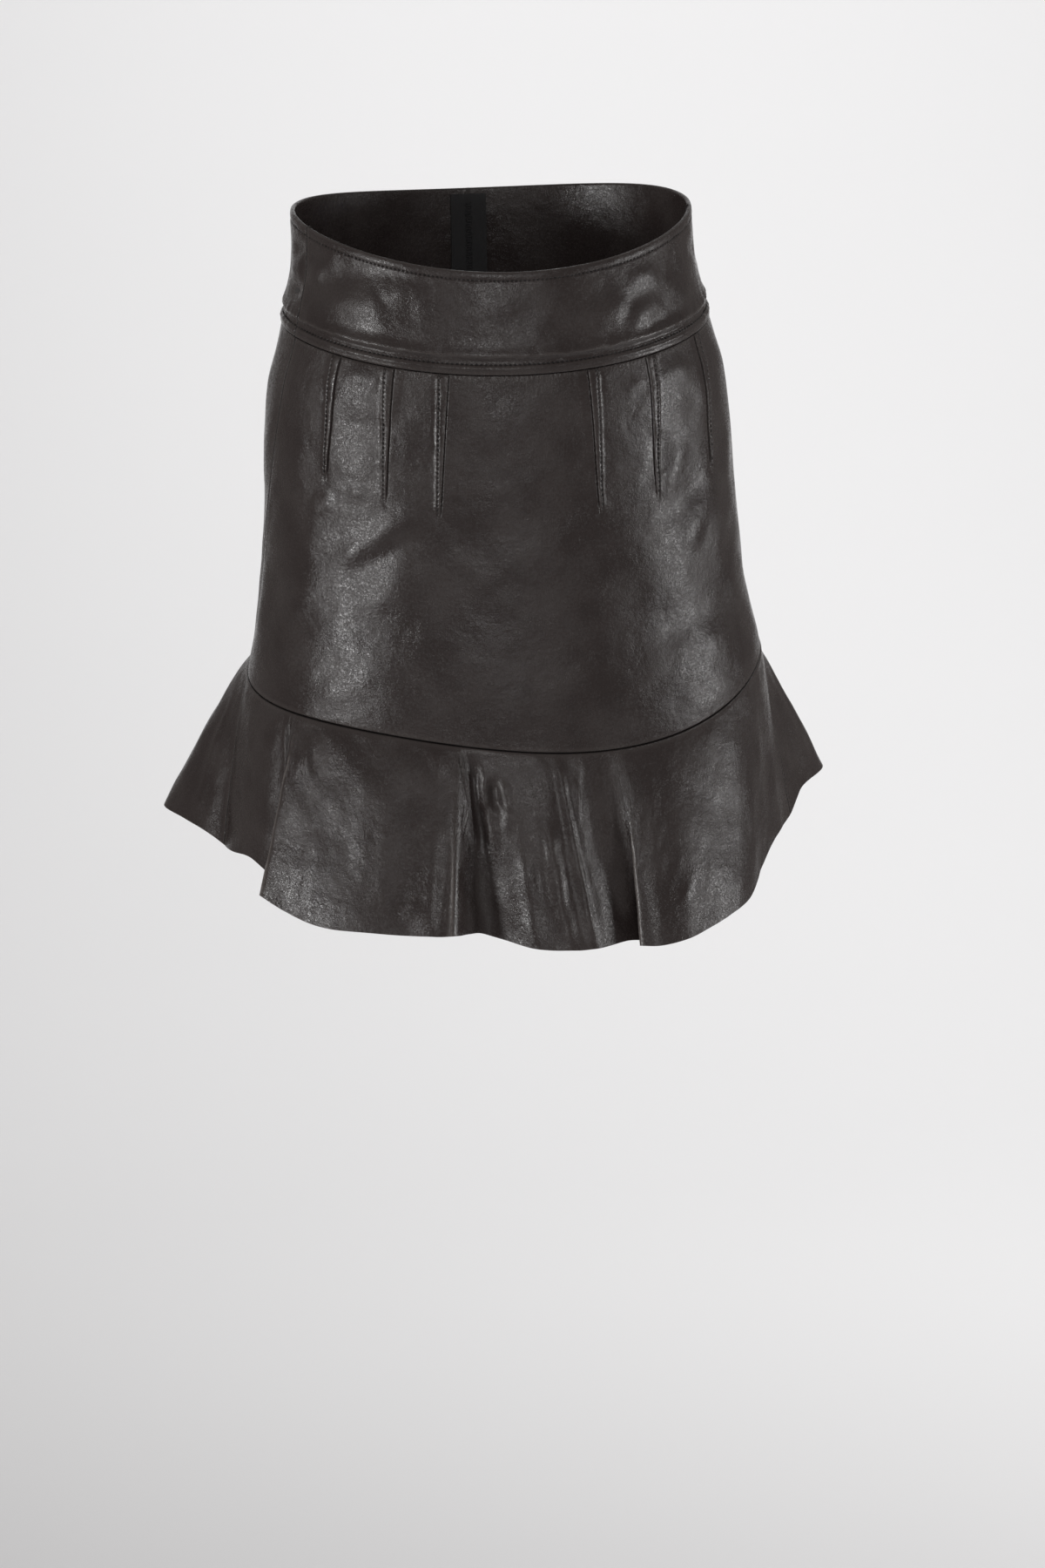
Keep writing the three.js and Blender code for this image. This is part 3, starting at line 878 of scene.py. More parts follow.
@dataclass(frozen=True)
class Dart:
    """A dart: its groove runs from top to tip, its allowance is stitched down on the side of toward."""

    top: float
    tip: float
    share: float
    toward: int
    width: float = 6.0
    tip_width: float = 2.0

    def line(self, v: Array) -> Array:
        """Angle of the groove at a share v of the panel's height."""
        return mix(self.top, self.tip, np.minimum(1.0, v / self.share))

    def stitch_offset(self, v: Array) -> Array:
        """Distance from the groove to the stitches."""
        return mix(self.width, self.tip_width, np.clip(v / self.share, 0, 1))

    def relief(self, across: Array, along: Array, v: Array, seed: int) -> tuple[Array, Array, Array]:
        """Height, wear with painted highlight, and nearness to the stitches of the dart.

        Args:
            across: distance from the groove, positive towards the stitches.
            along: length down from the waist seam.
            v: share of the panel's height.
            seed: fixes the gathers.

        Returns:
            Heights in millimetres, then wear, which also paints the highlight along the dart's ridge, and
            nearness to the stitches, from 0 to 1.
        """
        end = self.share
        fade = 1 - smooth((v - 0.9 * end) / (0.1 * end))
        w = self.stitch_offset(v)
        groove = -0.95 * bell(across, 0.34)
        lift = 0.62 * smooth(across / 0.55) * (1 - smooth((across - w - 0.6) / 2.4))
        body = 0.2 * np.sin(np.clip(across / w, 0, 1) * math.pi)
        stop = 1 - smooth((v - 0.97 * end) / (0.03 * end))
        line = bell(across - w, 0.62) * stop
        sewn = -0.3 * line + gathers(along, across - w, seed, 4.0, 0.9) * stop
        # the ridge beside the groove is marked rubbed and so painted lighter: wear and painted highlight
        wear_and_highlight = 0.86 * bell(across - 0.85, 0.5) * fade
        dimple = -0.3 * bell(across, 3.2) * bell(v - end, 0.03)
        run = 0.2 * bell(across, 5.0) * smooth((v - end) / 0.02) * (1 - smooth((v - end) / 0.16))
        return (groove + lift + body) * fade + sewn + dimple + run, wear_and_highlight, line

    def stitch_spots(self) -> tuple[Array, Array]:
        """Middles of the dart's stitches and the normals there, in step with the sewn marks."""
        height = float(WAIST_SEAM.level(self.top) - FLOUNCE_SEAM.level(self.top))
        depth = np.arange(1, int(self.share * 0.97 * height / STITCH_PITCH)) + 0.5
        v = depth * STITCH_PITCH / height
        for _ in range(3):
            line = self.line(v)
            z = WAIST_SEAM.level(line) - depth * STITCH_PITCH
            t = line + self.toward * self.stitch_offset(v) / TUBE.per_degree(line, z)
            top, bottom = WAIST_SEAM.level(t), FLOUNCE_SEAM.level(t)
            v = depth * STITCH_PITCH / (top - bottom)
        z = top - depth * STITCH_PITCH
        out = TUBE.normal(t, z)
        return TUBE.point(t, z) + out * (LEATHER / 2 + 0.3), out


FRONT_DARTS = (
    Dart(top=-49.6, tip=-52.6, share=0.345, toward=-1),
    Dart(top=-32.7, tip=-34.4, share=0.367, toward=-1),
    Dart(top=-18.2, tip=-20.7, share=0.393, toward=-1),
    Dart(top=16.6, tip=17.7, share=0.38, toward=1),
    Dart(top=34.4, tip=34.2, share=0.377, toward=1),
    Dart(top=57.2, tip=56.6, share=0.37, toward=1),
)
BACK_RIGHT_DARTS = (
    Dart(top=118, tip=119, share=0.42, toward=-1),
    Dart(top=148, tip=148, share=0.5, toward=-1),
)
BACK_LEFT_DARTS = (
    Dart(top=212, tip=212, share=0.5, toward=1),
    Dart(top=242, tip=241, share=0.42, toward=1),
)
LEFT_SEAM = (-72.5, -92.0)
RIGHT_SEAM = (81.0, 91.0)
CENTRE_BACK = 180.0


def side_seam(seam: tuple[float, float], v: Array, turn: float = 0.0) -> Array:
    """Angle of a side seam at a share v of the panel's height."""
    return mix(seam[0], seam[1], smooth(v * 1.15)) + turn


@dataclass
class Panel:
    """One panel between the waist seam and the flounce seam."""

    node: str
    start: tuple[float, float]
    end: tuple[float, float]
    darts: tuple[Dart, ...]
    creases: tuple[Crease, ...]
    end_turn: float = 0.0
    seed: int = 3
    height: float = 240.0
    row_step: float = 2.0
    column_step: float = 2.6
    dart_steps: tuple[float, ...] = (
        -7, -4.6, -3, -1.9, -1.2, -0.75, -0.45, -0.25, -0.1, 0.05, 0.2, 0.4, 0.65, 1, 1.5, 2.2, 3, 3.9, 4.7,
        5.3, 5.7, 6, 6.3, 6.7, 7.3, 8.1, 9.2, 11,
    )

    def shares(self) -> Array:
        """Rows of the grid as shares of the height, close together at the two seams."""
        height = self.height
        edge = edge_distances() / height
        count = int(height / self.row_step)
        inner = np.linspace(2 * SEAM_ROLL / height, 1 - 2 * SEAM_ROLL / height, count)
        return np.concatenate([edge, inner, 1 - edge[::-1]])

    def angles(self, v: Array) -> Array:
        """Angle of every column at every row, following the seams and the darts.

        Args:
            v: the rows' shares.

        Returns:
            Angles, shape (rows, columns).
        """
        z = lambda t: mix(WAIST_SEAM.level(t), FLOUNCE_SEAM.level(t), v)
        per = lambda t: TUBE.per_degree(t, z(t))
        first = side_seam(self.start, v)
        last = side_seam(self.end, v, self.end_turn)
        edge = edge_distances() + SEAM_GAP / 2
        anchors = [first + d / per(first) for d in edge]
        for dart in self.darts:
            line = dart.line(v)
            shrink = mix(1.0, 0.5, smooth(v / dart.share))
            made = [line + dart.toward * step * shrink / per(line) for step in self.dart_steps]
            anchors += made if dart.toward > 0 else made[::-1]
        anchors += [last - d / per(last) for d in edge[::-1]]
        columns = [anchors[0]]
        for a, b in zip(anchors, anchors[1:]):
            count = max(1, round(float(np.mean((b - a) * per(a))) / self.column_step))
            columns += [mix(a, b, k / count) for k in range(1, count + 1)]
        return np.stack(columns, 1)

    def build(self, finishes: Finishes) -> list[bpy.types.Object]:
        """Makes the panel and its stitching.

        Args:
            finishes: the materials.

        Returns:
            The panel first, then its stitching.
        """
        v = self.shares()
        t = self.angles(v)
        top = WAIST_SEAM.level(t) - SEAM_GAP / 2
        bottom = FLOUNCE_SEAM.level(t) + SEAM_GAP / 2
        z = mix(top, bottom, v[:, None])
        base = TUBE.point(t, z)
        normal = TUBE.normal(t, z)
        x = TUBE.arc(t)
        relief = unevenness(x, z, self.seed, ((90.0, 1.1), (45.0, 0.5), (21.0, 0.16)))
        for crease in self.creases:
            relief = relief + crease.relief(x, z)
        calm = smooth((top - z) / 14.0) * smooth((z - bottom) / 10.0)
        relief = relief * mix(0.25, 1.0, calm)
        per = TUBE.per_degree(t, z)
        first = side_seam(self.start, v)[:, None]
        last = side_seam(self.end, v, self.end_turn)[:, None]
        sides = ((t - first) * per, (last - t) * per)
        relief = relief * smooth(sides[0] / 10.0) * smooth(sides[1] / 10.0)
        # mask of rubbed places that also paints highlights on dart ridges and seam rolls
        wear_and_highlight = np.zeros_like(relief)
        sewn = 0.55 * bell(top - z - 1.3, 1.0)
        run = TUBE.arc(t, WAIST_LEVEL)
        for k, dart in enumerate(self.darts):
            across = dart.toward * (t - dart.line(v)[:, None]) * per
            high, rubbed_and_lit, near = dart.relief(across, top - z, v[:, None], self.seed * 10 + k)
            relief = relief + high
            wear_and_highlight = np.maximum(wear_and_highlight, rubbed_and_lit)
            run = np.where(near > sewn, top - z, run)
            sewn = np.maximum(sewn, near)
        for distance in (*sides, top - z, z - bottom):
            wear_and_highlight = np.maximum(wear_and_highlight, edge_wear_and_highlight(distance))
            relief = relief * smooth(distance / 1.6)
            sewn, run = seam_marks(sewn, run, distance)
        relief = relief + join_drops(edge_drops(len(v)), edge_drops(t.shape[1]))
        outer = base + normal * (LEATHER / 2 + relief)[..., None]
        name = leather_name(self.node)
        panel = Sheet(name, outer, real_size_uv(base), wear_and_highlight, sewn, run).build(LEATHER, finishes)
        made = [panel]
        if self.darts:
            rows = [dart.stitch_spots() for dart in self.darts]
            made.append(lay_stitches(name + "_stitching", rows, finishes))
        belong(made)
        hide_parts(self.node)
        return made


@dataclass
class BandPiece:
    """One piece of the doubled waistband, folded over at its top edge."""

    node: str
    start: float
    end: float
    creases: tuple[Crease, ...]
    seed: int
    column_step: float = 2.2
    face: float = 1.7
    back: float = -1.3
    strip: float = 11.6
    stitch_low: float = 6.5
    stitch_top: float = 5.7
    roll: float = 1.1

    def profile(self) -> list[tuple[float, float, float]]:
        """Rows from the fold's inside, over the top and down the outside to the waist seam.

        Returns:
            Rows of share of the band's height, millimetres above that, and offset from the middle surface.
        """
        rows = [(k / 6, mix(1.5, -4.0, k / 6), self.back) for k in range(7)]
        rows.append((1.0, -2.4, self.back))
        middle = (self.face + self.back) / 2
        radius = (self.face - self.back) / 2
        for step in range(13):
            a = math.pi * (step / 12 - 0.5)
            rows.append((1.0, radius * (math.cos(a) - 1), middle + radius * math.sin(a)))
        top_rows = (2.1, 2.8, 3.5, 4.2, 4.8, 5.2, 5.5, 5.7, 5.9, 6.2, 6.7, 7.5, 8.6)
        rows += [(1.0, -d, self.face) for d in top_rows]
        rows += [(1 - k / 21, mix(-8.6, 16.0, k / 21), self.face) for k in range(1, 22)]
        strip_rows = (14.6, 13.6, 12.8, 12.2, 11.7, 11.2, 10.6, 9.8, 8.9, 8.0, 7.4, 7.0, 6.7)
        pillow_rows = (6.5, 6.3, 6.0, 5.6, 5.0, 4.2, 3.4, 2.6, 2.0)
        rows += [(0.0, d, self.face) for d in strip_rows + pillow_rows]
        rows += [(0.0, d + SEAM_GAP / 2, self.face) for d in edge_distances(self.roll)[::-1]]
        return rows

    def build(self, finishes: Finishes) -> list[bpy.types.Object]:
        """Makes the band piece and its stitching.

        Args:
            finishes: the materials.

        Returns:
            The band first, then its stitching.
        """
        per = float(TUBE.per_degree(np.array(self.start), np.array(0.0)))
        edge = (edge_distances() + SEAM_GAP / 2) / per
        inner = np.arange(self.start + edge[-1], self.end - edge[-1], self.column_step / per)[1:]
        t = np.concatenate([self.start + edge, inner, (self.end - edge)[::-1]])[None, :]
        rows = np.array(self.profile())
        low = WAIST_SEAM.level(t)
        high = TOP_EDGE.level(t)
        above = mix(0.0, high - low, rows[:, :1]) + rows[:, 1:2]
        z = low + above
        outside = smooth((rows[:, 2:3] - 0.2) / 1.2)
        base = TUBE.point(t, z)
        normal = TUBE.normal(t, z)
        x = TUBE.arc(t) * np.ones_like(z)
        relief = unevenness(x, z, self.seed, ((70.0, 0.8), (34.0, 0.4), (16.0, 0.14)))
        for crease in self.creases:
            relief = relief + crease.relief(x, z)
        sides = ((t - self.start) * per, (self.end - t) * per)
        relief = relief * smooth(sides[0] / 10.0) * smooth(sides[1] / 10.0)
        below = high - z
        calm = smooth((above - self.strip) / 6.0) * smooth((below - 5.0) / 5.0)
        relief = relief * mix(0.3, 1.0, calm)
        run = TUBE.arc(t, WAIST_LEVEL) * np.ones_like(z)
        waver = gathers(run, np.zeros_like(z), self.seed + 2, 1.0, 1.6)
        ridge = above - self.strip - waver
        strip = (1.2 + 0.7 * waver) * bell(ridge, np.where(ridge > 0, 4.2, 1.5))
        slope = -0.65 * bell(above - 8.7, 1.9)
        pillow = 0.85 * bell(above - 4.0, 1.6)
        low_line = bell(above - self.stitch_low, 0.6)
        top_line = bell(below - self.stitch_top, 0.6)
        sewn = np.maximum(low_line, 0.85 * top_line) * outside
        sewing = gathers(run, above - self.stitch_low, self.seed, 3.6)
        sewing = sewing + gathers(run, below - self.stitch_top, self.seed + 1, 3.0, 0.7)
        lip = 0.26 * bell(below - 3.0, 1.5)
        edge_seam = -0.4 * bell(rows[:, 2:3] - 0.75, 0.28) * (below < 0.8)
        dip = strip + slope + pillow + sewing + lip - 0.32 * low_line - 0.28 * top_line
        # ridges of the strip, seam roll, pillow and top fold marked rubbed and so painted lighter: wear and
        # painted highlight on these edges
        wear_and_highlight = 0.9 * bell(ridge, 0.8)
        wear_and_highlight = np.maximum(wear_and_highlight, 0.8 * bell(above - 1.3, 0.8))
        wear_and_highlight = np.maximum(wear_and_highlight, 0.7 * bell(above - 4.9, 0.8))
        wear_and_highlight = np.maximum(wear_and_highlight, 0.9 * bell(below - 0.6, 0.7))
        relief = (relief + dip) * outside + edge_seam
        for distance in sides:
            wear_and_highlight = np.maximum(wear_and_highlight, edge_wear_and_highlight(distance))
            relief = relief * smooth(distance / 1.6)
            sewn, run = seam_marks(sewn, run, distance)
        relief = relief * smooth(above / 1.8)
        down = np.zeros(len(rows))
        down[-len(edge) :] = edge_drops(2 * len(edge), radius=self.roll)[-len(edge) :]
        relief = relief + join_drops(down, edge_drops(t.shape[1])) * np.maximum(outside, 0.35)
        outer = base + normal * (rows[:, 2:3] + relief)[..., None]
        lengths = running_length(outer[:, t.shape[1] // 2])
        u = TUBE.arc(t[0], -25.0) * MM
        uv = np.stack(np.broadcast_arrays(u[None, :], -lengths[:, None] * MM), -1)
        name = leather_name(self.node)
        band = Sheet(name, outer, uv, wear_and_highlight * outside, sewn, run).build(1.1, finishes)
        first, last = TUBE.arc(np.array([self.start, self.end]), WAIST_LEVEL) / STITCH_PITCH
        count = np.arange(math.ceil(first + 0.2), int(last - 0.2)) + 0.5
        spots = TUBE.arc_angle(count * STITCH_PITCH, WAIST_LEVEL)
        low_level = WAIST_SEAM.level(spots) + self.stitch_low
        top_level = TOP_EDGE.level(spots) - self.stitch_top
        stitched = []
        for level, lift in ((low_level, 0.0), (top_level, 0.05)):
            away = TUBE.normal(spots, level)
            stitched.append((TUBE.point(spots, level) + away * (self.face + lift), away))
        stitching = lay_stitches(name + "_stitching", stitched, finishes)
        belong([band, stitching])
        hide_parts(self.node)
        return [band, stitching]


# ---- flounce ----
FOLD = (
    (-8.8, -1.2, -14.0, 11.0),
    (-5.3, 3.4, -14.5, 6.0),
    (-3.3, 6.9, -14.0, 2.0),
    (-2.7, 7.8, -11.5, 2.0),
    (-2.1, 7.0, -9.0, 2.0),
    (-1.2, 3.4, -6.5, 1.0),
    (-0.4, 0.5, -4.0, 0.0),
    (0.0, -0.3, -2.0, 0.0),
    (0.4, 0.6, 0.3, 0.0),
)


def knife_fold(
    t: float, angle: float, out: float, z: float, lap: float, rise: float
) -> list[tuple[float, ...]]:
    """Hem rows of one knife fold: under the upper layer, round the inner nose and out to its edge.

    Args:
        t: the seam's angle at the fold.
        angle: where the fold's edge hangs at the hem.
        out: how far the edge stands off the hem's ellipse.
        z: height of the edge's corner.
        lap: how much the layers lap.
        rise: how far the under layer is higher.

    Returns:
        Rows of seam angle, hem angle, offset and height.
    """
    return [(t + a, angle + b * lap, out + c, z + d * rise) for a, b, c, d in FOLD]


FRONT_HEM = [
    (-92, -83.2, 18.3, -378),
    (-84, -74.1, 21.5, -379),
    (-75, -64.6, 23.5, -380),
    *knife_fold(-57.2, -55.8, 39.7, -400, 1, 1),
    (-54.5, -52.6, 40, -404),
    (-51, -49.5, 38.8, -409),
    (-46.5, -44.2, 39.3, -415),
    (-42, -39.8, 39.5, -418),
    (-33, -31.3, 38.7, -420),
    (-27, -25.3, 37.8, -421.5),
    (-20.5, -19.8, 39.5, -422),
    (-17.8, -17.5, 39, -422),
    (-16.9, -16.6, 35.3, -422.5),
    (-15.8, -14.9, 21.7, -424),
    (-14.5, -12.8, 11.7, -425.5),
    (-12, -10.3, 11.1, -428),
    (-9.5, -7.6, 16.2, -430),
    (-5, -2.9, 26.2, -434),
    (0, 2.2, 31.6, -435.5),
    (6, 8.4, 30.6, -436),
    *knife_fold(18.5, 16.4, 35.8, -436, 0.65, 0.15),
    (21.5, 19.2, 40.5, -436),
    (27, 24.5, 41.3, -433.5),
    (33, 29.6, 38.3, -429),
    (39, 34.9, 34.9, -424),
    (48, 42.5, 28.2, -416.5),
    (60, 52.2, 16.8, -401),
    (71, 61.6, 11.2, -388),
    (80, 68.4, 10.9, -381.5),
    (91, 76.1, 12.4, -377),
]
BACK_HEM = [
    (91, 76.1, 12.4, -377),
    (97, 88.2, 21, -364),
    (103, 98.5, 44.5, -356),
    (108, 104.5, 47, -354),
    (114, 112, 33, -352),
    (120, 119, 19, -350),
    (126, 126, 22, -349),
    (132, 133, 40, -347),
    (137, 138.5, 43, -346),
    *knife_fold(153, 152, 46, -346, 0.9, 0.5),
    (156, 155.5, 46.5, -346),
    (161, 161, 38, -345),
    (168, 168, 20, -344),
    (175, 175, 22, -344),
    (182, 182, 41, -342),
    (188, 188, 46, -341),
    (194, 194, 35, -342),
    (201, 201, 20, -343),
    (208, 208, 27, -344),
    *knife_fold(223, 222.5, 46, -347, 0.9, 0.5),
    (226, 226, 47, -347),
    (231, 231.5, 38, -349),
    (237, 237.5, 22, -352),
    (243, 243, 27, -354),
    (249, 250, 46, -357),
    (255, 257.5, 55, -359),
    (260, 265, 41, -364),
    (264, 271, 28.6, -370),
    (268, 276.8, 18.3, -378),
]


def hem_knots(table: list[tuple[float, ...]], turn: float = 0.0) -> Array:
    """Hem rows as x, y, z and seam angle."""
    rows = np.array(table, float)
    a = np.radians(rows[:, 1])
    depth = np.where(np.cos(a) > 0, HEM_FRONT, HEM_BACK) + rows[:, 2]
    x = (HEM_WIDTH + rows[:, 2]) * np.sin(a)
    return np.stack([x, -depth * np.cos(a), rows[:, 3], rows[:, 0] + turn], 1)


@dataclass
class Flounce:
    """One half of the flounce, hung in folds from the flounce seam."""

    node: str
    table: list[tuple[float, ...]]
    other: list[tuple[float, ...]]
    before_turn: float
    after_turn: float
    creases: tuple[Crease, ...]
    seed: int
    depth: float = 120.0
    step: float = 2.3
    row_step: float = 2.4
    sewn_at: float = 0.0

    def ribs(self) -> tuple[Array, Array, Array]:
        """Points along the hem, with the neighbour's knots beyond both ends.

        Returns:
            The ribs, then the knot before the first and the knot after the last.
        """
        knots = hem_knots(self.table)
        first = hem_knots(self.other, self.before_turn)[-2]
        last = hem_knots(self.other, self.after_turn)[1]
        run = np.vstack([first, knots, last])
        gaps = np.sqrt(np.maximum(np.linalg.norm(np.diff(run[:, :3], axis=0), axis=-1), 1e-6))
        made = []
        for k in range(1, len(run) - 2):
            a, b, c, d = run[k - 1 : k + 3]
            ta, tb, tc = gaps[k - 1 : k + 2]
            slope_b = ((c - b) / tb - (c - a) / (ta + tb) + (b - a) / ta) * tb
            slope_c = ((d - c) / tc - (d - b) / (tb + tc) + (c - b) / tb) * tb
            count = max(2, round(float(np.linalg.norm(c[:3] - b[:3])) / self.step))
            for s in np.arange(count) / count:
                start = (1 + 2 * s) * (1 - s) ** 2 * b + s * (1 - s) ** 2 * slope_b
                made.append(start + s * s * (3 - 2 * s) * c + s * s * (s - 1) * slope_c)
        made.append(run[-2])
        made = np.array(made)
        edge = edge_distances()
        length = running_length(made[:, :3])
        inner = length[(length > 2 * SEAM_ROLL) & (length < length[-1] - 2 * SEAM_ROLL)]
        at = np.concatenate([edge + SEAM_GAP / 2, inner, length[-1] - edge[::-1] - SEAM_GAP / 2])
        return np.stack([np.interp(at, length, made[:, k]) for k in range(4)], 1), first, last

    @staticmethod
    def hang(ribs: Array, share: Array) -> Array:
        """Points of the ribs at shares of the way from the seam to the hem."""
        x, y, z, t = ribs.T
        seam = TUBE.point(t, FLOUNCE_SEAM.level(t) - SEAM_GAP)
        c = np.cos(np.radians(t))
        depth = np.where(c > 0, HEM_FRONT, HEM_BACK)
        normal = np.stack([np.sin(np.radians(t)) / HEM_WIDTH, -c / depth], -1)
        normal /= np.linalg.norm(normal, axis=-1, keepdims=True)
        along = np.stack([-normal[:, 1], normal[:, 0]], -1)
        reach = np.stack([x - seam[:, 0], y - seam[:, 1]], -1)
        out = (reach * normal).sum(-1)[None] * share[:, None] ** 0.82
        side = (reach * along).sum(-1)[None] * share[:, None] ** 1.5
        flat = seam[None, :, :2] + normal[None] * out[..., None] + along[None] * side[..., None]
        height = mix(seam[None, :, 2], z[None], share[:, None])
        return np.concatenate([flat, height[..., None]], -1)

    def build(self, finishes: Finishes) -> list[bpy.types.Object]:
        """Makes the flounce piece.

        Args:
            finishes: the materials.

        Returns:
            The piece.
        """
        ribs, first, last = self.ribs()
        depth = self.depth
        below_seam = np.linspace(2 * SEAM_ROLL / depth, 1.0, int(depth / self.row_step))
        share = np.concatenate([edge_distances() / depth, below_seam])
        base = self.hang(ribs, share)
        before = self.hang(first[None], share)[:, 0]
        after = self.hang(last[None], share)[:, 0]
        hung = grid_normals(base, before, after)
        at_seam = TUBE.normal(ribs[:, 3], FLOUNCE_SEAM.level(ribs[:, 3]))[None]
        normal = mix(at_seam, hung, smooth(share * depth / 7.0)[:, None, None])
        x = running_length(base[-1])[None, :] * np.ones((len(share), 1))
        z = -share[:, None] * depth * np.ones_like(x)
        relief = unevenness(x, z, self.seed, ((60.0, 0.7), (30.0, 0.35), (15.0, 0.14)))
        place = lambda t: np.interp(t, ribs[:, 3], x[0])
        for crease in self.creases:
            relief = relief + crease.relief(x, z, place)
        down = share[:, None] * depth
        relief = relief * smooth(share / 0.08)[:, None] + 0.4 * bell(down - 2.3, 1.3)
        # painted highlight: a thin lighter line just under the flounce seam, where the rolled edge catches the
        # light
        wear_and_highlight = 0.92 * bell(down - 1.3, 0.8) * np.ones_like(x)
        for distance in (x, x[:, -1:] - x):
            wear_and_highlight = np.maximum(wear_and_highlight, edge_wear_and_highlight(distance))
            relief = relief * smooth(distance / 7.0)
        sewn = bell(x - self.sewn_at, 0.65) * (self.sewn_at > 0) * smooth((down - 8) / 6)
        run = down * np.ones_like(x)
        for distance in (x, x[:, -1:] - x, down):
            sewn, run = seam_marks(sewn, run, distance)
        relief = relief + join_drops(edge_drops(len(share), both=False), edge_drops(x.shape[1]))
        # the noses of convex folds and thin ridges are painted lighter through the same mask: painted highlight
        # along the fold edges, with their wear
        turn = np.zeros_like(x)
        turn[:, 1:-1] = 1 - (normal[:, :-2] * normal[:, 2:]).sum(-1)
        sunk = ((base[:, 2:] + base[:, :-2] - 2 * base[:, 1:-1]) * normal[:, 1:-1]).sum(-1)
        turn[:, 1:-1] *= sunk < 0
        wear_and_highlight = np.maximum(wear_and_highlight, smooth((turn - 0.03) / 0.14))
        for crease in self.creases:
            if crease.width < 2.0 and crease.depth < 0:
                wear_and_highlight = np.maximum(wear_and_highlight, np.minimum(1.0, 1.1 * crease.relief(x, z, place) / -crease.depth))
        outer = base + normal * (LEATHER / 2 + relief)[..., None]
        uv = np.stack([x * MM, z * MM], -1)
        name = leather_name(self.node)
        piece = Sheet(name, outer, uv, wear_and_highlight, sewn, run).build(LEATHER, finishes)
        made = [piece]
        if self.sewn_at:
            column = int(np.argmin(np.abs(x[0] - self.sewn_at)))
            at = (np.arange(5, int(0.9 * depth / STITCH_PITCH)) + 0.5) * STITCH_PITCH / depth
            line = np.stack([np.interp(at, share, outer[:, column, k]) for k in range(3)], 1)
            away = np.stack([np.interp(at, share, normal[:, column, k]) for k in range(3)], 1)
            made.append(lay_stitches(name + "_stitching", [(line, away)], finishes))
        belong(made)
        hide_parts(self.node)
        return made


@dataclass
class Zip:
    """The concealed zip behind the centre back."""

    length: float = 190.0
    width: float = 24.0
    face: float = 2.1
    thickness: float = 0.6
    tooth_pitch: float = 1.7

    def build(self, finishes: Finishes) -> list[bpy.types.Object]:
        """Makes the tape with its coil and dresses the slider and pull tab.

        Args:
            finishes: the materials.

        Returns:
            The new pieces.
        """
        top = float(TOP_EDGE.level(np.array(CENTRE_BACK))) - 4
        reach = self.width / 2 / float(TUBE.per_degree(np.array(CENTRE_BACK), np.array(0.0)))
        t = np.linspace(CENTRE_BACK - reach, CENTRE_BACK + reach, 17)[None, :]
        z = np.linspace(top, top - self.length, 96)[:, None]
        base = TUBE.point(t, z)
        normal = TUBE.normal(t, z)
        outer = base - normal * self.face
        sheet = Sheet("zip_tape_cloth", outer, real_size_uv(base), np.zeros(outer.shape[:2]))
        tape = sheet.build(self.thickness, finishes)
        for k in range(len(tape.data.materials)):
            tape.data.materials[k] = finishes.tape
        coil = self.coil(top, finishes)
        belong([tape, coil])
        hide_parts("zip_tape")
        for node in ("zip_slider", "pull_tab"):
            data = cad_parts[node].data
            data.materials.clear()
            data.materials.append(finishes.metal)
        return [tape, coil]

    def coil(self, top: float, finishes: Finishes) -> bpy.types.Object:
        """The row of small nylon teeth down the tape's inner side.

        Args:
            top: height of the first tooth.
            finishes: the materials.

        Returns:
            The teeth as one object.
        """
        bm = bmesh.new()
        for n in range(int((self.length - 12) / self.tooth_pitch)):
            z = top - 6 - n * self.tooth_pitch
            here = TUBE.point(np.array(CENTRE_BACK), np.array(z))
            spot = Vector((0.0, float(here[1]) - self.face - self.thickness - 0.3, z)) * MM
            lean = Matrix.Rotation(math.radians(12 if n % 2 else -12), 4, "Y")
            size = Matrix.Diagonal((2.1 * MM, 0.5 * MM, 0.55 * MM, 1))
            place = Matrix.Translation(spot) @ lean @ size
            bmesh.ops.create_uvsphere(bm, u_segments=8, v_segments=5, radius=1.0, matrix=place)
        return new_piece("zip_coil", bm, [finishes.tape])


@dataclass(frozen=True)
class SoftBox:
    """A large soft light: its bearing from the front in degrees, the rest in metres and watts."""

    name: str
    bearing: float
    reach: float
    height: float
    aim: float
    size: tuple[float, float]
    watts: float
    away: bool = False

    def build(self) -> None:
        """Adds the light at its bearing from the front, turned to the skirt or away from it."""
        light = bpy.data.lights.new(self.name, "AREA")
        light.shape = "RECTANGLE"
        light.size, light.size_y = self.size
        light.energy = self.watts
        lamp = bpy.data.objects.new(self.name, light)
        bpy.context.scene.collection.objects.link(lamp)
        a = math.radians(self.bearing)
        flat = Vector((math.sin(a), -math.cos(a), 0.0))
        lamp.location = flat * self.reach + Vector((0, 0, self.height))
        target = flat * (self.reach + 3.0) if self.away else Vector((0, 0, 0))
        toward = target + Vector((0, 0, self.aim)) - lamp.location
        lamp.rotation_euler = toward.to_track_quat("-Z", "Y").to_euler()


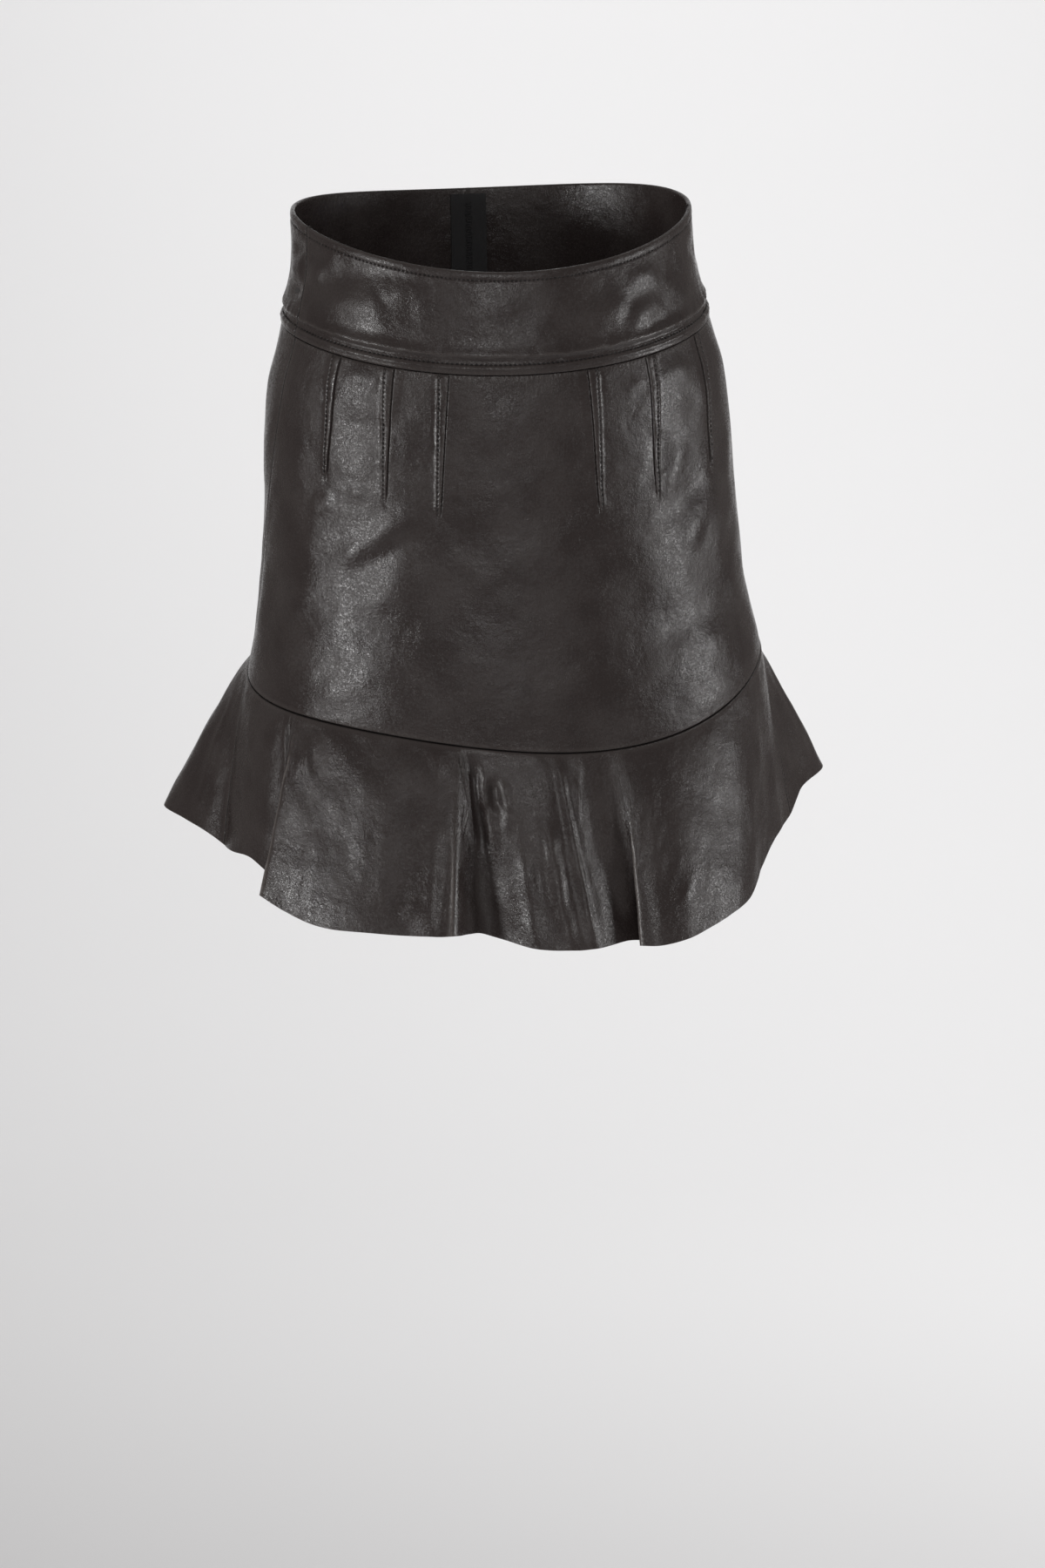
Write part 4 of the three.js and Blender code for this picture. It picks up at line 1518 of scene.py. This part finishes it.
@dataclass
class Studio:
    """Camera, floor and lights."""

    azimuth: float = -9.0
    elevation: float = 9.0
    roll: float = -1.8
    distance: float = 3.2
    target: tuple[float, float, float] = (0.0085, 0.0, -0.352)
    picture_height: float = 1800.0
    metres_per_pixel: float = 0.00057
    floor_level: float = -1.15
    lights: tuple[SoftBox, ...] = (
        SoftBox("key_left", -61, 2.3, height=-0.02, aim=-0.2, size=(0.34, 0.3), watts=14.0),
        SoftBox("key_right", 72, 2.3, height=-0.2, aim=-0.2, size=(0.6, 0.55), watts=10.8),
        SoftBox("fill_front", -2, 3.6, height=0.8, aim=-0.3, size=(1.1, 0.6), watts=13.0),
        SoftBox("paper_wash", 138, 1.1, height=1.9, aim=0.1, size=(3.2, 0.9), watts=125.0, away=True),
    )

    def build(self) -> None:
        """Places the camera, the floor and the lights."""
        self.camera()
        self.floor()
        for light in self.lights:
            light.build()
        world = bpy.data.worlds.new("studio")
        world.use_nodes = True
        w = Wiring(world.node_tree)
        background = world.node_tree.nodes["Background"]
        background.inputs["Color"].default_value = (1.0, 0.93, 0.9, 1)
        background.inputs["Strength"].default_value = 0.19
        pale = w.node("ShaderNodeBackground")
        pale.inputs["Color"].default_value = (0.8, 0.8, 0.805, 1)
        seen = w.node("ShaderNodeMixShader")
        w.link(w.node("ShaderNodeLightPath").outputs["Is Camera Ray"], seen.inputs[0])
        w.link(background.outputs[0], seen.inputs[1])
        w.link(pale.outputs[0], seen.inputs[2])
        w.link(seen.outputs[0], world.node_tree.nodes["World Output"].inputs["Surface"])
        bpy.context.scene.world = world
        bpy.context.scene.view_settings.view_transform = "Standard"

    def camera(self) -> None:
        """Places the camera at the photograph's viewing angle."""
        a, e, r = (math.radians(v) for v in (self.azimuth, self.elevation, self.roll))
        back = Vector((math.sin(a) * math.cos(e), -math.cos(a) * math.cos(e), math.sin(e)))
        right = (-back).cross(Vector((0, 0, 1))).normalized()
        up = right.cross(-back)
        turned_right = right * math.cos(r) + up * math.sin(r)
        turned_up = up * math.cos(r) - right * math.sin(r)
        spot = Vector(self.target) + back * self.distance
        lens = bpy.data.cameras.new("camera")
        lens.sensor_fit = "VERTICAL"
        lens.sensor_height = 24.0
        lens.lens = 24.0 * self.distance / self.metres_per_pixel / self.picture_height
        lens.clip_start = 0.05
        lens.clip_end = 60.0
        view = bpy.data.objects.new("camera", lens)
        bpy.context.scene.collection.objects.link(view)
        axes = Matrix((turned_right, turned_up, back)).transposed().to_4x4()
        view.matrix_world = Matrix.Translation(spot) @ axes
        bpy.context.scene.camera = view

    def floor(self) -> None:
        """A pale floor that sweeps up behind."""
        bm = bmesh.new()
        bmesh.ops.create_grid(bm, x_segments=2, y_segments=64, size=1.0)
        for vertex in bm.verts:
            share = (vertex.co.y + 1) / 2
            run = -6.0 + 13.0 * share
            bend = max(0.0, run - 2.2)
            radius = 2.0
            angle = min(bend / radius, math.pi / 2)
            rise = max(0.0, bend - radius * math.pi / 2)
            y = min(run, 2.2) + radius * math.sin(angle)
            z = self.floor_level + radius * (1 - math.cos(angle)) + rise
            vertex.co = Vector((vertex.co.x * 2.0 + 0.4, y, z))
        material, w, shader = new_material("studio_paper")
        place = w.node("ShaderNodeTexCoord")
        tone = w.noise(place.outputs["Object"], 0.8, 2.0, 0.5)
        paper = w.colour_mix(tone, (0.78, 0.783, 0.79, 1), (0.81, 0.813, 0.82, 1))
        w.link(paper, shader.inputs["Base Color"])
        shader.inputs["Roughness"].default_value = 0.9
        new_piece("studio_floor", bm, [material])


FRONT_CREASES = creases(
    (-51.5, -199, -21.8, -158.5, 7.0, -1.0, 3.0), (-59.5, -159.5, -49.5, -154, 6.0, -1.0),
    (-45.8, -152, -41, -145, 5.0, -0.6), (-48.5, -90, -31, -96, 9.0, -1.0), (-47, -71, -34, -75, 8.0, -1.2),
    (-62, -82, -53, -88, 7.0, -0.6), (-29, -96, -20, -101, 6.0, -0.4),
    (-61.8, -190.5, -53, -167.5, 7.0, -0.6), (-66.5, -146.5, -61, -112, 7.0, -0.5),
    (-66.2, -238, -57, -199, 9.0, -0.7), (-37, -228, -27, -186, 13.0, -0.6),
    (-20, -186, -4, -172, 9.0, 0.35), (-8, -250, 14, -236, 14.0, 0.4, 4.0), (8, -168, 17, -150, 6.0, 0.3),
    (45.5, -122, 36, -163, 8.0, -1.2), (58, -146, 31, -181, 8.0, 0.6, -3.0),
    (60, -160, 38, -200, 10.0, -0.9), (48.5, -170, 44, -196, 7.0, -0.5), (64, -165, 53, -206, 8.0, -0.8),
    (36, -84, 52, -80, 8.0, -0.8), (26, -93, 32.5, -84, 5.0, -0.5), (52, -92, 46, -118, 6.0, 0.5),
    (74, -120, 66, -160, 8.0, -0.6), (44, -258, 60, -244, 8.0, -0.8), (30, -246, 50, -222, 12.0, 0.5),
    (70, -236, 60, -214, 9.0, -0.5), (-60, -256, -40, -282, 10.0, -0.5, -3.0),
    (-80, -250, -72, -196, 9.0, 0.6),
)
BAND_CREASES = creases(
    (-64, -29, -35, -34, 9.0, -1.2), (-60, -9, -28, -14, 7.0, 0.5), (-37.2, -21, -24, -29, 6.5, -0.6),
    (-42, -16, -36, -38, 3.0, 0.45), (32.2, -24, 47, -16, 6.0, -0.9), (18.2, -47.5, 31.3, -35, 7.0, -0.9),
    (32.2, -49.5, 44.5, -34.5, 7.0, -0.9), (28, -51, 36, -29, 4.0, 0.8), (50, -12, 62, -30, 6.0, 0.5),
    (-6, -58, 8, -34, 8.0, 0.3), (66, -4, 79, -8, 5.0, 0.7), (-82, 3, -58, -2, 5.0, 1.3),
    (-82, -10, -60, -14, 6.0, -1.2), (-82, -24, -62, -27, 5.0, 1.0),
)
BACK_BAND_CREASES = creases(
    (272, 4, 302, 2, 5.0, 1.3), (268, -10, 302, -11, 6.0, -1.2), (270, -24, 302, -24, 5.0, 1.0),
    (74, -6, 96, -2, 5.0, 0.8), (80, -20, 104, -14, 6.0, -0.7), (108, 6, 132, -8, 7.0, 0.6),
    (128, -20, 156, -6, 8.0, -0.8), (150, 14, 168, 2, 6.0, 0.5), (196, 4, 220, 16, 7.0, 0.6),
    (204, -14, 232, -2, 8.0, -0.8), (236, -18, 258, 2, 6.0, 0.6),
)
BACK_CREASES = creases(
    (100, -120, 130, -158, 9.0, -1.0), (96, -146, 126, -180, 9.0, 0.8),
    (112, -196, 150, -166, 10.0, -0.8, 4.0), (140, -160, 172, -184, 9.0, 0.8),
    (150, -176, 174, -214, 8.0, -0.6), (98, -214, 118, -184, 8.0, -0.5), (126, -232, 160, -214, 12.0, 0.5),
    (104, -74, 122, -84, 7.0, -0.6), (130, -58, 146, -72, 7.0, -0.6), (186, -172, 214, -150, 9.0, -0.9),
    (184, -196, 222, -180, 9.0, 0.7, -4.0), (214, -170, 250, -206, 10.0, -0.8),
    (232, -150, 262, -176, 8.0, 0.8), (226, -230, 258, -208, 12.0, 0.5), (244, -96, 258, -128, 7.0, -0.6),
    (196, -60, 210, -74, 7.0, -0.6),
)
FRONT_FLOUNCE_CREASES = creases(
    (3.7, 12, 6.0, -132, 2.8, -2.0, 0.8, 0.2), (5.5, 2, 9.6, -30, 5.0, 0.5), (9.3, -2, 5.2, -40, 4.0, -0.6),
    (0.6, -28, 1.8, -132, 4.2, -1.6, -1.6, 0.2), (2.6, -50, 3.8, -126, 3.0, 0.7),
    (-9.9, -18, -9.4, -40, 5.2, 3.0, 0, 0.55), (-6.2, -30, -8.2, -52, 3.2, -0.7),
    (-16.6, 2, -15.2, -36, 1.7, -1.3), (-15.2, -36, -16.4, -56, 1.7, -0.9),
    (-14.0, -2, -12.4, -72, 4.2, 3.0), (-18.6, -50, -20.0, -128, 4.0, 1.2),
    (-57.0, -1, -56.0, -50, 1.7, -1.3), (-56.2, -46, -66.5, -130, 1.9, -1.3),
    (-59.8, -1, -60.0, -70, 4.0, 2.2), (-1.0, -34, 0.5, -70, 2.5, -0.5), (2.2, -80, 1.2, -108, 2.3, 0.5),
    (-2.5, -62, -2.0, -96, 2.5, 0.5), (7.5, -18, 6.6, -46, 3.0, -0.6), (8.8, -70, 9.6, -112, 4.0, 0.5),
    (-5.0, -50, -4.4, -130, 4.5, -1.0), (-22, 2, -20, -22, 5.0, -0.8), (20.0, -56, 22.7, -34, 2.2, 0.5),
    (18.7, -80, 22.1, -46, 2.6, 0.45), (21.5, -66, 25.4, -44, 2.4, -0.4), (22.0, -92, 27.0, -60, 3.0, 0.4),
    (11.5, -30, 9.3, -82, 6.0, -0.6), (26.3, -98, 30, -86, 3.0, -0.5), (-53.9, -10, -50.4, -36, 2.2, -0.7),
    (-55.2, -12, -53.4, -34, 2.0, -0.4), (-52, -16, -46, -40, 5.0, 0.4), (-30, -112, -23, -102, 6.0, -0.4),
    (-44, -118, -38, -40, 12.0, 0.6), (36, -20, 42, -100, 12.0, 0.6), (50, -12, 54, -110, 9.0, -0.5),
    (66, -10, 70, -120, 7.0, 0.6), (-84, -8, -82, -124, 7.0, 0.6),
)
BACK_FLOUNCE_CREASES = creases(
    (103, -20, 104, -130, 5.0, -0.7), (116, -10, 119, -126, 8.0, 0.6), (128, -30, 131, -130, 5.0, -0.8),
    (143, -14, 145, -128, 6.0, 0.6), (165, -16, 163, -126, 6.0, -0.6), (184, -20, 187, -130, 5.0, -0.8),
    (199, -12, 201, -124, 7.0, 0.6), (214, -24, 211, -128, 5.0, -0.7), (236, -10, 238, -128, 7.0, 0.6),
    (252, -20, 254, -130, 5.0, -0.8), (261, -14, 262, -128, 4.0, -0.5),
)


def skirt_parts() -> list[Panel | BandPiece | Flounce | Zip]:
    """Every sub-assembly in the order in which it is sewn."""
    back = (CENTRE_BACK, CENTRE_BACK)
    return [
        BandPiece("waistband_front", LEFT_SEAM[0], RIGHT_SEAM[0], BAND_CREASES, seed=11),
        BandPiece("waistband_back_right", RIGHT_SEAM[0], CENTRE_BACK, BACK_BAND_CREASES, seed=13),
        BandPiece("waistband_back_left", CENTRE_BACK, LEFT_SEAM[0] + 360, BACK_BAND_CREASES, seed=17),
        Panel("front_panel", LEFT_SEAM, RIGHT_SEAM, FRONT_DARTS, FRONT_CREASES, seed=3),
        Panel("back_panel_right", RIGHT_SEAM, back, BACK_RIGHT_DARTS, BACK_CREASES, seed=4),
        Panel("back_panel_left", back, LEFT_SEAM, BACK_LEFT_DARTS, BACK_CREASES, end_turn=360.0, seed=6),
        Flounce("flounce_front", FRONT_HEM, BACK_HEM, -360.0, 0.0, FRONT_FLOUNCE_CREASES, seed=5),
        Flounce("flounce_back", BACK_HEM, FRONT_HEM, 0.0, 360.0, BACK_FLOUNCE_CREASES, seed=8, sewn_at=4.2),
        Zip(),
    ]


def main() -> None:
    """Builds the studio and every piece of the skirt."""
    Studio().build()
    finishes = Finishes.build()
    for part in skirt_parts():
        for piece in part.build(finishes):
            log.info("%s: %d faces", piece.name, len(piece.data.polygons))


if __name__ == "__main__":
    main()
